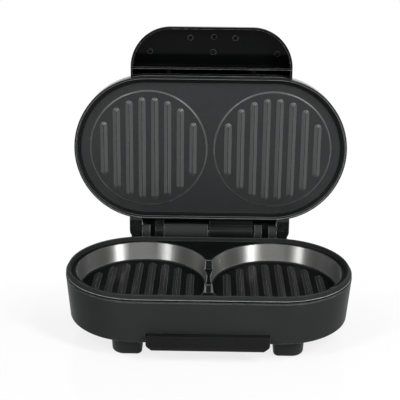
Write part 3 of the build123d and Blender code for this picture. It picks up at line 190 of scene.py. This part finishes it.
# The light edge colour is a painted highlight along the housing's edges.
housing_black = moulding("housing_black_moulding", dark=(0.0195, 0.0215, 0.0208),
                         light=(0.0240, 0.0265, 0.0257), edge=(0.28, 0.285, 0.283), rough=0.34,
                         rough_change=0.05, grain=0.00042, grain_depth=0.00003, edge_width=0.0009,
                         shine=0.02)
dress(housing_black, "base_housing")

# ---- Lower cooking plate
# Die-cast aluminium with two ribbed cups and turned walls. A dark non-stick coating with a slight orange
# peel and tiny flecks is sprayed on, thin on the walls and edges, and the cast rim is rougher.
# The edges are also painted light as a highlight, the steep rib flanks are painted lighter as a highlight,
# and this plate's coating is painted darker than the same coating on the upper plate, as painted shade.
LAND_Z = 0.058
CUP_X, CUP_WALL_R, CUP_WALL_HALF = 0.059, 0.0572, 0.0016
FLECK_COLOUR, WORN_AND_HIGHLIGHT_COLOUR = (0.16, 0.16, 0.17), (0.42, 0.42, 0.425)


def casting_group():
    """Sprayed coating over a casting: orange peel, flecks and slow clouds."""
    tree = new_tree("sprayed_casting", [("Peel", NUMBER), ("Fleck", NUMBER)],
                    [("Height", NUMBER), ("Flecks", NUMBER), ("Cloud", NUMBER)])
    taken, given = put(tree, "NodeGroupInput"), put(tree, "NodeGroupOutput")
    place = put(tree, "ShaderNodeTexCoord").outputs["Object"]
    peel = put(tree, "ShaderNodeTexNoise", {"Vector": place, "Detail": 4.0, "Roughness": 0.5,
                                            "Scale": maths(tree, "DIVIDE", 1.0, taken.outputs["Peel"])})
    cells = put(tree, "ShaderNodeTexVoronoi", {"Vector": place,
                                               "Scale": maths(tree, "DIVIDE", 1.0, taken.outputs["Fleck"])})
    lucky = put(tree, "ShaderNodeSeparateColor", {"Color": cells.outputs["Color"]}).outputs[0]
    near = spread(tree, cells.outputs["Distance"], 0.32, 0.12, 0.0, 1.0)
    flecks = maths(tree, "MULTIPLY", near, maths(tree, "GREATER_THAN", lucky, 0.72))
    cloud = put(tree, "ShaderNodeTexNoise", {"Vector": place, "Scale": 34.0, "Detail": 4.0,
                                             "Roughness": 0.6})
    tree.links.new(peel.outputs["Fac"], given.inputs["Height"])
    tree.links.new(flecks, given.inputs["Flecks"])
    tree.links.new(spread(tree, cloud.outputs["Fac"], 0.3, 0.7, 0.0, 1.0), given.inputs["Cloud"])
    return tree


def in_plate(tree, taken):
    """Distances along a plate and across it, from its centre, on either side of the middle."""
    place = put(tree, "ShaderNodeTexCoord").outputs["Object"]
    from_centre = put(tree, "ShaderNodeVectorMath", {0: place, 1: taken.outputs["Centre"]},
                      operation="SUBTRACT").outputs[0]
    across = put(tree, "ShaderNodeVectorMath", {0: from_centre, 1: taken.outputs["Across"]},
                 operation="DOT_PRODUCT").outputs["Value"]
    along = put(tree, "ShaderNodeSeparateXYZ", {0: from_centre}).outputs["X"]
    return maths(tree, "ABSOLUTE", along), across


def diagonal(tree, first, second):
    """Length of the line with these two legs."""
    squares = maths(tree, "ADD", maths(tree, "MULTIPLY", first, first),
                    maths(tree, "MULTIPLY", second, second))
    return maths(tree, "SQRT", squares)


PLATE_SOCKETS = [("Centre", VECTOR), ("Across", VECTOR)]


def outline_group():
    """Distance from the line between the two round ends, in the plane of a plate."""
    tree = new_tree("distance_from_spine", PLATE_SOCKETS + [("Half Length", NUMBER)],
                    [("Distance", NUMBER)])
    taken, given = put(tree, "NodeGroupInput"), put(tree, "NodeGroupOutput")
    along, across = in_plate(tree, taken)
    past = maths(tree, "MAXIMUM", maths(tree, "SUBTRACT", along, taken.outputs["Half Length"]), 0.0)
    tree.links.new(diagonal(tree, past, across), given.inputs["Distance"])
    return tree


def cup_group():
    """Distance from the nearer cup's axis, in the plane of a plate."""
    tree = new_tree("distance_from_cup", PLATE_SOCKETS, [("Distance", NUMBER)])
    taken, given = put(tree, "NodeGroupInput"), put(tree, "NodeGroupOutput")
    along, across = in_plate(tree, taken)
    beside = maths(tree, "SUBTRACT", along, CUP_X)
    tree.links.new(diagonal(tree, beside, across), given.inputs["Distance"])
    return tree


SPRAYED_CASTING = casting_group()
SPINE_DISTANCE = outline_group()
CUP_DISTANCE = cup_group()


def coated_casting(name, centre, across, rim_from, rim_to, flat, flank, wall, rim, rough, metal, shine):
    """Sprayed casting: flats, rib flanks painted lighter as a highlight, bare turned walls, a greyer rim,
    and edges painted light as wear and highlight.
    """
    made, tree, shader = new_material(name)
    skin = use_group(tree, SPRAYED_CASTING, Peel=0.0011, Fleck=0.00055)
    wear_and_highlight_edge = use_group(tree, EDGE_WEAR_AND_HIGHLIGHT, Width=0.0009, Break=0.4)
    spine = use_group(tree, SPINE_DISTANCE, Centre=centre, Across=across, Half_Length=END_X)
    cup = use_group(tree, CUP_DISTANCE, Centre=centre, Across=across)
    at_rim = spread(tree, spine.outputs["Distance"], rim_from, rim_to, 0.0, 1.0)
    facing_out = Vector(across).cross(Vector((-1.0, 0.0, 0.0)))
    facing = facing_of(tree, facing_out)
    inside = maths(tree, "SUBTRACT", 1.0, at_rim)
    in_cup = within(tree, cup.outputs["Distance"], CUP_WALL_R, CUP_WALL_HALF)
    on_wall = maths(tree, "MULTIPLY", spread(tree, facing, 0.45, 0.2, 0.0, 1.0), in_cup)
    # Painted highlight: steep faces inside the rim, rib flanks and disc edges among them, get the lighter
    # flank colour.
    flank_highlight_mask = maths(tree, "MULTIPLY", spread(tree, facing, 0.93, 0.84, 0.0, 1.0), inside)
    darker = [0.78 * part for part in flat]
    colour = blend_colour(tree, skin.outputs["Cloud"], darker, flat)
    flecks = maths(tree, "MULTIPLY", skin.outputs["Flecks"], 0.25)
    flecked = blend_colour(tree, flecks, colour, FLECK_COLOUR)
    flank_highlighted = blend_colour(tree, flank_highlight_mask, flecked, flank)
    walled = blend_colour(tree, on_wall, flank_highlighted, wall)
    rimmed = blend_colour(tree, maths(tree, "MULTIPLY", at_rim, 0.9), walled, rim)
    # The edge colour stands for coating worn off the edges and is also a painted highlight on rib and rim
    # edges.
    rubbed_and_highlit = blend_colour(tree, maths(tree, "MULTIPLY", wear_and_highlight_edge.outputs["Edge"], 0.85), rimmed, WORN_AND_HIGHLIGHT_COLOUR)
    tree.links.new(rubbed_and_highlit, shader.inputs["Base Color"])
    clouded = spread(tree, skin.outputs["Cloud"], 0.0, 1.0, rough - 0.03, rough + 0.04)
    drawn = maths(tree, "ADD", clouded, maths(tree, "MULTIPLY", on_wall, 0.07))
    rougher = maths(tree, "ADD", drawn, maths(tree, "MULTIPLY", at_rim, 0.1))
    tree.links.new(rougher, shader.inputs["Roughness"])
    tree.links.new(spread(tree, on_wall, 0.0, 1.0, metal, 0.92), shader.inputs["Metallic"])
    shader.inputs["Specular IOR Level"].default_value = shine
    shader.inputs["Anisotropic"].default_value = 1.0
    tangent = put(tree, "ShaderNodeCombineXYZ", dict(enumerate(facing_out))).outputs[0]
    tree.links.new(tangent, shader.inputs["Tangent"])
    place = put(tree, "ShaderNodeTexCoord").outputs["Object"]
    around = put(tree, "ShaderNodeVectorMath", {0: place, 1: (0.02, 0.02, 1.0)},
                 operation="MULTIPLY").outputs[0]
    turned = put(tree, "ShaderNodeTexNoise", {"Vector": around, "Scale": 2400.0, "Detail": 2.0})
    lines = maths(tree, "MULTIPLY", maths(tree, "MULTIPLY", turned.outputs["Fac"], on_wall), 1.6)
    rough_cast = put(tree, "ShaderNodeTexNoise", {"Vector": place, "Scale": 1300.0, "Detail": 3.0})
    pebbles = maths(tree, "MULTIPLY", maths(tree, "MULTIPLY", rough_cast.outputs["Fac"], at_rim), 4.0)
    height = maths(tree, "ADD", maths(tree, "ADD", skin.outputs["Height"], lines), pebbles)
    bump = put(tree, "ShaderNodeBump", {"Strength": 0.6, "Distance": 0.00005, "Height": height})
    tree.links.new(bump.outputs["Normal"], shader.inputs["Normal"])
    return made


# Painted shade: this plate's flats and rib flanks are painted several times darker than the same coating on
# the upper plate.
lower_coating = coated_casting("lower_nonstick_coating", centre=(0.0, BASE_Y, LAND_Z),
                               across=(0.0, 1.0, 0.0), rim_from=0.0612, rim_to=0.0621,
                               flat=(0.0030, 0.0032, 0.0034), flank=(0.014, 0.0142, 0.0142),
                               wall=(0.42, 0.424, 0.416), rim=(0.019, 0.0196, 0.0199), rough=0.34,
                               metal=0.0, shine=0.015)
dress(lower_coating, "lower_cooking_plate")

# ---- Grip in the front notch
# Separate black bar of the same plastic as the housing. It is moulded in a polished cavity, so it is
# smoother than the sides, and it is screwed up through its tongue from under the cover.
grip_black = moulding("grip_black_moulding", dark=(0.0050, 0.0051, 0.0052), light=(0.0072, 0.0073, 0.0074),
                      edge=(0.05, 0.05, 0.05), rough=0.3, rough_change=0.04, grain=0.0005,
                      grain_depth=0.00003, edge_width=0.0006, shine=0.10)
dress(grip_black, "base_grip")

# ---- Bottom cover
# Flat black moulding that closes the underside, with vents and screw pillars. Its tool was left matt,
# and its flow lines show faintly.
cover_black = moulding("cover_black_moulding", dark=(0.02, 0.0205, 0.0205), light=(0.033, 0.0335, 0.0335),
                       edge=(0.055, 0.055, 0.055), rough=0.55, rough_change=0.05, grain=0.0007,
                       grain_depth=0.00008, edge_width=0.0005)
dress(cover_black, "bottom_cover")

# ---- Feet and pads
# Four drafted blocks moulded in plain black, each with a screw and a round rubber pad pressed into its
# sole. The pads are dull and pick up fine dust.
foot_black = moulding("foot_black_moulding", dark=(0.011, 0.0114, 0.0114), light=(0.016, 0.0165, 0.0165),
                      edge=(0.05, 0.05, 0.05), rough=0.45, rough_change=0.05, grain=0.0006,
                      grain_depth=0.00006, edge_width=0.0006, shine=0.15)
dress(foot_black, "feet")
pad_rubber = moulding("pad_black_rubber", dark=(0.012, 0.012, 0.0122), light=(0.035, 0.035, 0.034),
                      edge=(0.05, 0.049, 0.047), rough=0.82, rough_change=0.06, grain=0.0009,
                      grain_depth=0.00009, edge_width=0.0004, shine=0.3)
dress(pad_rubber, "foot_pads")

# ---- Lid frame
# Black ring that clasps the upper plate. Its barrels and ears turn in the hinge. It has the housing's
# own grain, a painted highlight along its edges, and a painted highlight along the inner edge of the lip
# that closes round the base's rim.
# The light edge colour is a painted highlight along the frame's edges.
frame_black = moulding("frame_black_moulding", dark=(0.0046, 0.0050, 0.0050),
                       light=(0.0068, 0.0073, 0.0073), edge=(0.16, 0.163, 0.163), rough=0.30,
                       rough_change=0.05, grain=0.00042, grain_depth=0.00005, edge_width=0.0006,
                       shine=0.12)
LID_HALF = 0.082
HINGE_Z = 0.060
LEAN = math.radians(4.0)
LIP_AT, LIP_HALF = 0.0672, 0.0004
lid_up = Vector((0.0, math.sin(LEAN), math.cos(LEAN)))
lid_out = Vector((0.0, -math.cos(LEAN), math.sin(LEAN)))
lid_centre = Vector((0.0, BASE_Y + LID_HALF, HINGE_Z)) + lid_up * LID_HALF
tree = frame_black.node_tree
shader = next(n for n in tree.nodes if n.type == "BSDF_PRINCIPLED")
spine = use_group(tree, SPINE_DISTANCE, Centre=tuple(lid_centre), Across=tuple(lid_up), Half_Length=END_X)
lip = within(tree, spine.outputs["Distance"], LIP_AT, LIP_HALF)
# Painted highlight: a light grey line along the lip's inner edge, on faces that look out of the lid.
lip_highlight = maths(tree, "MULTIPLY", lip, spread(tree, facing_of(tree, lid_out), 0.3, 0.6, 0.0, 1.0))
moulded = shader.inputs["Base Color"].links[0].from_socket
tree.links.new(blend_colour(tree, lip_highlight, moulded, (0.14, 0.142, 0.142)), shader.inputs["Base Color"])
dress(frame_black, "lid_frame")

# ---- Upper cooking plate
# Flat casting with two ribbed discs, sprayed like the cups. It sits back in the frame's rebate, and four
# screws hold it from behind.
# This plate's rib flanks and disc edges are painted lighter as a highlight, and its edges carry a painted
# highlight.
upper_coating = coated_casting("upper_nonstick_coating", centre=tuple(lid_centre), across=tuple(lid_up),
                               rim_from=0.0618, rim_to=0.0630, flat=(0.022, 0.0229, 0.0236),
                               flank=(0.072, 0.074, 0.074), wall=(0.072, 0.074, 0.074),
                               rim=(0.02, 0.021, 0.022), rough=0.36, metal=0.3, shine=0.3)
dress(upper_coating, "upper_cooking_plate")

# ---- Lid dome
# Outer shell of the lid in satin grey plastic. It steps onto the frame's edge, and the screws in the
# ears and the handle hold it.
dome_grey = moulding("dome_grey_moulding", dark=(0.36, 0.362, 0.364), light=(0.40, 0.402, 0.404),
                     edge=(0.48, 0.482, 0.484), rough=0.38, rough_change=0.04, grain=0.0005,
                     grain_depth=0.00004, edge_width=0.0008)
dress(dome_grey, "lid_shell")

# ---- Handle
# Hollow handle in glossy black, open on the cooking side, with one cross rib, six ejector marks and two
# screws from inside the lid. Its polished skin shows only faint flow marks and fine hairlines, and a
# light grey painted highlight runs along its edges and the cross rib's crest.
# The light edge colour is a painted highlight along the handle's edges and rib crest.
handle_black = moulding("handle_gloss_black_moulding", dark=(0.0012, 0.0013, 0.0014),
                        light=(0.0022, 0.0024, 0.0026), edge=(0.24, 0.24, 0.24), rough=0.16,
                        rough_change=0.04, grain=0.0016, grain_depth=0.00001, edge_width=0.0007,
                        shine=0.07)
dress(handle_black, "lid_handle")

# ---- Hinge pins, screws and other steel
# Ground steel pins and zinc-plated pan-head screws. Fine turning lines run round them, and the plating
# is dull in the recesses. The two ear screws are blackened.


def metal_group():
    """Ground or rolled metal: fine lines along x with small pits."""
    tree = new_tree("ground_metal", [("Line Size", NUMBER)],
                    [("Height", NUMBER), ("Streak", NUMBER), ("Stain", NUMBER)])
    taken, given = put(tree, "NodeGroupInput"), put(tree, "NodeGroupOutput")
    place = put(tree, "ShaderNodeTexCoord").outputs["Object"]
    longer = put(tree, "ShaderNodeVectorMath", {0: place, 1: (0.08, 1.0, 1.0)},
                 operation="MULTIPLY").outputs[0]
    per_metre = maths(tree, "DIVIDE", 1.0, taken.outputs["Line Size"])
    lines = put(tree, "ShaderNodeTexNoise", {"Vector": longer, "Scale": per_metre, "Detail": 4.0,
                                             "Roughness": 0.65})
    stain = put(tree, "ShaderNodeTexNoise", {"Vector": place, "Scale": 300.0, "Detail": 4.0,
                                             "Roughness": 0.6})
    tree.links.new(lines.outputs["Fac"], given.inputs["Height"])
    tree.links.new(spread(tree, lines.outputs["Fac"], 0.3, 0.7, 0.0, 1.0), given.inputs["Streak"])
    tree.links.new(spread(tree, stain.outputs["Fac"], 0.35, 0.65, 0.0, 1.0), given.inputs["Stain"])
    return tree


GROUND_METAL = metal_group()


def metalwork(name, dark, light, edge, rough, line_size, depth):
    """Bare or plated metal: streaks, stains and bright edges."""
    made, tree, shader = new_material(name)
    skin = use_group(tree, GROUND_METAL, Line_Size=line_size)
    wear_and_highlight_edge = use_group(tree, EDGE_WEAR_AND_HIGHLIGHT, Width=0.0003, Break=0.4)
    colour = blend_colour(tree, skin.outputs["Streak"], dark, light)
    stained = blend_colour(tree, maths(tree, "MULTIPLY", skin.outputs["Stain"], 0.3), colour, dark)
    rubbed_and_highlit = blend_colour(tree, maths(tree, "MULTIPLY", wear_and_highlight_edge.outputs["Edge"], 0.7), stained, edge)
    tree.links.new(rubbed_and_highlit, shader.inputs["Base Color"])
    tree.links.new(spread(tree, skin.outputs["Stain"], 0.0, 1.0, rough - 0.06, rough + 0.08),
                   shader.inputs["Roughness"])
    shader.inputs["Metallic"].default_value = 1.0
    bump = put(tree, "ShaderNodeBump", {"Strength": 0.5, "Distance": depth,
                                        "Height": skin.outputs["Height"]})
    tree.links.new(bump.outputs["Normal"], shader.inputs["Normal"])
    return made


pin_steel = metalwork("pin_ground_steel", dark=(0.36, 0.36, 0.36), light=(0.5, 0.5, 0.5),
                      edge=(0.6, 0.6, 0.6), rough=0.3, line_size=0.0002, depth=0.00001)
dress(pin_steel, "hinge_pins")
screw_zinc = metalwork("screw_zinc_plate", dark=(0.30, 0.30, 0.29), light=(0.46, 0.46, 0.44),
                       edge=(0.6, 0.6, 0.58), rough=0.36, line_size=0.0003, depth=0.00001)
dress(screw_zinc, "plate_screws", "cover_screws", "foot_screws", "grip_screws", "handle_screws",
      "shield_screws", "upper_plate_screws", "lower_clamp_screws", "upper_clamp_screws",
      "thermostat_screws")
screw_black = metalwork("screw_blackened_steel", dark=(0.05, 0.05, 0.052), light=(0.10, 0.10, 0.105),
                        edge=(0.5, 0.5, 0.5), rough=0.34, line_size=0.0003, depth=0.00001)
dress(screw_black, "ear_screws")

# ---- Heaters, straps, shields and thermostat
# Bent tube heaters with an oxidised steel sheath, held by pressed and plated straps. Behind them lie thin
# bright aluminium pans. The thermostat is a pressed can on its own ears.
sheath = metalwork("heater_oxidised_sheath", dark=(0.07, 0.062, 0.055), light=(0.17, 0.15, 0.13),
                   edge=(0.3, 0.28, 0.25), rough=0.5, line_size=0.0005, depth=0.00002)
dress(sheath, "lower_heating_element", "upper_heating_element")
strap_plate = metalwork("strap_plated_strip", dark=(0.34, 0.34, 0.33), light=(0.48, 0.48, 0.47),
                        edge=(0.62, 0.62, 0.6), rough=0.34, line_size=0.0003, depth=0.00001)
dress(strap_plate, "lower_element_clamps", "upper_element_clamps", "thermostat")
shield_sheet = metalwork("shield_bright_sheet", dark=(0.5, 0.5, 0.5), light=(0.66, 0.66, 0.67),
                         edge=(0.75, 0.75, 0.75), rough=0.28, line_size=0.0004, depth=0.00002)
dress(shield_sheet, "lower_heat_shield", "upper_heat_shield", "thermal_fuse")

# ---- Terminal block and cord gland
# Off-white heat-resistant moulding that joins the leads on the cover, and a black rubber bush that guards
# the cord's way out through the apron.
block_white = moulding("terminal_white_moulding", dark=(0.48, 0.47, 0.43), light=(0.58, 0.57, 0.53),
                       edge=(0.7, 0.69, 0.66), rough=0.5, rough_change=0.05, grain=0.0006,
                       grain_depth=0.00005, edge_width=0.0005)
dress(block_white, "terminal_block")
gland_rubber = moulding("gland_black_rubber", dark=(0.010, 0.010, 0.0102), light=(0.018, 0.018, 0.0182),
                        edge=(0.04, 0.04, 0.04), rough=0.7, rough_change=0.06, grain=0.0007,
                        grain_depth=0.00006, edge_width=0.0004, shine=0.35)
dress(gland_rubber, "cord_gland")

# ---- Leads
# Stranded leads from the block to the heater and up through the hinge. They run in sleeves woven from
# glass fibre, which is off-white and lightly soiled.


def sleeve_group():
    """Woven sleeve: two crossing sets of fine waves."""
    tree = new_tree("woven_sleeve", [("Thread", NUMBER)],
                    [("Height", NUMBER), ("Soil", NUMBER)])
    taken, given = put(tree, "NodeGroupInput"), put(tree, "NodeGroupOutput")
    place = put(tree, "ShaderNodeTexCoord").outputs["Object"]
    per_metre = maths(tree, "DIVIDE", 0.16, taken.outputs["Thread"])
    heights = []
    for turn in (0.7, -0.7):
        turned = put(tree, "ShaderNodeMapping", {"Vector": place,
                                                 "Rotation": (turn, turn, turn)}).outputs[0]
        wave = put(tree, "ShaderNodeTexWave", {"Vector": turned, "Scale": per_metre})
        heights.append(wave.outputs["Fac"])
    soil = put(tree, "ShaderNodeTexNoise", {"Vector": place, "Scale": 90.0, "Detail": 3.0})
    tree.links.new(maths(tree, "MAXIMUM", *heights), given.inputs["Height"])
    tree.links.new(soil.outputs["Fac"], given.inputs["Soil"])
    return tree


WOVEN_SLEEVE = sleeve_group()
sleeve, tree, shader = new_material("lead_woven_sleeve")
woven = use_group(tree, WOVEN_SLEEVE, Thread=0.0004)
raised = blend_colour(tree, woven.outputs["Height"], (0.26, 0.24, 0.20), (0.56, 0.54, 0.48))
soil = maths(tree, "MULTIPLY", woven.outputs["Soil"], 0.4)
tree.links.new(blend_colour(tree, soil, raised, (0.3, 0.27, 0.22)), shader.inputs["Base Color"])
tree.links.new(spread(tree, woven.outputs["Height"], 0.0, 1.0, 0.9, 0.68), shader.inputs["Roughness"])
bump = put(tree, "ShaderNodeBump", {"Strength": 0.8, "Distance": 0.0002, "Height": woven.outputs["Height"]})
tree.links.new(bump.outputs["Normal"], shader.inputs["Normal"])
dress(sleeve, "base_leads", "lid_leads")

# ---- Lamps
# Two clear red lenses moulded in plastic and pressed into the dome, each with a small blown-glass neon
# lamp behind it.


def lamp_glass(name, colour, rough, depth):
    """Tinted clear moulding or blown glass with a slight ripple."""
    made, tree, shader = new_material(name)
    skin = use_group(tree, MOULD_GRAIN, Size=0.002)
    tree.links.new(blend_colour(tree, skin.outputs["Shade"], colour, [0.8 * part for part in colour]),
                   shader.inputs["Base Color"])
    tree.links.new(spread(tree, skin.outputs["Fine"], 0.0, 1.0, rough, rough + 0.08),
                   shader.inputs["Roughness"])
    bump = put(tree, "ShaderNodeBump", {"Strength": 0.5, "Distance": depth,
                                        "Height": skin.outputs["Height"]})
    tree.links.new(bump.outputs["Normal"], shader.inputs["Normal"])
    shader.inputs["Transmission Weight"].default_value = 0.75
    shader.inputs["IOR"].default_value = 1.49
    return made


dress(lamp_glass("lens_clear_red", colour=(0.62, 0.035, 0.02), rough=0.06, depth=0.00004), "lamp_lenses")
dress(lamp_glass("neon_lamp_glass", colour=(0.85, 0.62, 0.45), rough=0.03, depth=0.00002), "neon_lamps")

# ---- Floor, studio light and camera
# A pale floor that fades into white, a narrow soft box on each side, the right one stronger, a wide one
# in front and one overhead. The surround is white to the camera and behind the object, and dim elsewhere.
SIDE_BOX_X, SIDE_BOX_Y, SIDE_BOX_Z = 0.75, -0.66, 0.95
CAMERA_AWAY = 0.82387
bpy.ops.mesh.primitive_grid_add(x_subdivisions=24, y_subdivisions=24, size=8.0, location=(0.0, 0.0, 0.0))
floor = bpy.context.object
floor.name = "studio_floor"
floor_white, tree, shader = new_material("floor_pale")
place = put(tree, "ShaderNodeTexCoord").outputs["Object"]
far = put(tree, "ShaderNodeVectorMath", {0: place}, operation="LENGTH").outputs["Value"]
fade = spread(tree, far, 0.24, 0.42, 0.0, 1.0)
depth = put(tree, "ShaderNodeSeparateXYZ", {0: place}).outputs["Y"]
paper = put(tree, "ShaderNodeTexNoise", {"Vector": place, "Scale": 60.0, "Detail": 3.0})
tree.links.new(blend_colour(tree, paper.outputs["Fac"], (0.62, 0.62, 0.625), (0.64, 0.64, 0.645)),
               shader.inputs["Base Color"])
shader.inputs["Roughness"].default_value = 0.1
shader.inputs["Specular IOR Level"].default_value = 0.5
ray = put(tree, "ShaderNodeLightPath")
seen = maths(tree, "MAXIMUM", ray.outputs["Is Camera Ray"],
             maths(tree, "MAXIMUM", ray.outputs["Is Glossy Ray"], ray.outputs["Is Transmission Ray"]))
glow = put(tree, "ShaderNodeEmission", {"Color": (1.0, 1.0, 1.0, 1.0), "Strength": 1.0})
veil = maths(tree, "MAXIMUM", fade, spread(tree, depth, -0.02, 0.08, 0.8, 1.0))
mixed = put(tree, "ShaderNodeMixShader", {"Fac": maths(tree, "MULTIPLY", veil, seen)})
out = next(n for n in tree.nodes if n.type == "OUTPUT_MATERIAL")
tree.links.new(shader.outputs["BSDF"], mixed.inputs[1])
tree.links.new(glow.outputs[0], mixed.inputs[2])
tree.links.new(mixed.outputs[0], out.inputs["Surface"])
floor.data.materials.append(floor_white)

world = bpy.data.worlds.new("studio_surround")
bpy.context.scene.world = world
world.use_nodes = True
tree = world.node_tree
tree.nodes.clear()
ray = put(tree, "ShaderNodeLightPath")
toward = put(tree, "ShaderNodeTexCoord").outputs["Generated"]
parts = put(tree, "ShaderNodeSeparateXYZ", {0: toward})
behind = spread(tree, parts.outputs["Y"], -0.1, 0.7, 0.05, 1.0)
seen = maths(tree, "MAXIMUM", ray.outputs["Is Camera Ray"],
             maths(tree, "MAXIMUM", maths(tree, "MULTIPLY", ray.outputs["Is Glossy Ray"], behind),
                   ray.outputs["Is Transmission Ray"]))
dim = put(tree, "ShaderNodeBackground", {"Color": (1.0, 1.0, 1.0, 1.0), "Strength": 0.07})
bright = put(tree, "ShaderNodeBackground", {"Color": (1.0, 1.0, 1.0, 1.0), "Strength": 1.0})
mixed = put(tree, "ShaderNodeMixShader", {"Fac": seen})
tree.links.new(dim.outputs[0], mixed.inputs[1])
tree.links.new(bright.outputs[0], mixed.inputs[2])
tree.links.new(mixed.outputs[0], put(tree, "ShaderNodeOutputWorld").inputs["Surface"])


def soft_box(name, place, aim, width, height, power):
    """Rectangular soft box turned to a point."""
    light = bpy.data.lights.new(name, "AREA")
    light.shape = "RECTANGLE"
    light.size, light.size_y, light.energy = width, height, power
    made = bpy.data.objects.new(name, light)
    bpy.context.collection.objects.link(made)
    made.location = place
    made.rotation_euler = (Vector(aim) - Vector(place)).to_track_quat("-Z", "Y").to_euler()


for side, end, power in ((-1, "left", 12.0), (1, "right", 20.0)):
    soft_box(f"soft_box_{end}", place=(side * SIDE_BOX_X, SIDE_BOX_Y, SIDE_BOX_Z), aim=(0.0, 0.0, 0.08),
             width=0.17, height=0.8, power=power)
soft_box("soft_box_front", place=(0.0, -1.2, 1.1), aim=(0.0, 0.0, 0.1), width=0.9, height=0.5, power=4.6)
soft_box("soft_box_top", place=(0.0, 0.1, 1.7), aim=(0.0, 0.0, 0.0), width=1.4, height=1.0, power=4.6)

TURN, RISE, ROLL = math.radians(0.65), math.radians(19.84), math.radians(0.58)
target = Vector((-0.00888, BASE_Y + 0.04002, 0.10801))
away = Vector((math.sin(TURN) * math.cos(RISE), -math.cos(TURN) * math.cos(RISE), math.sin(RISE)))
level = (-away).cross(Vector((0.0, 0.0, 1.0))).normalized()
upright = level.cross(-away)
right = level * math.cos(ROLL) + upright * math.sin(ROLL)
up = upright * math.cos(ROLL) - level * math.sin(ROLL)
camera_data = bpy.data.cameras.new("camera")
camera_data.sensor_width = 36.0
camera_data.lens = 81.0
camera = bpy.data.objects.new("camera", camera_data)
bpy.context.collection.objects.link(camera)
spot = target + away * CAMERA_AWAY
camera.matrix_world = Matrix(((right.x, up.x, away.x, spot.x), (right.y, up.y, away.y, spot.y),
                              (right.z, up.z, away.z, spot.z), (0.0, 0.0, 0.0, 1.0)))
bpy.context.scene.camera = camera
bpy.context.scene.view_settings.view_transform = "Standard"
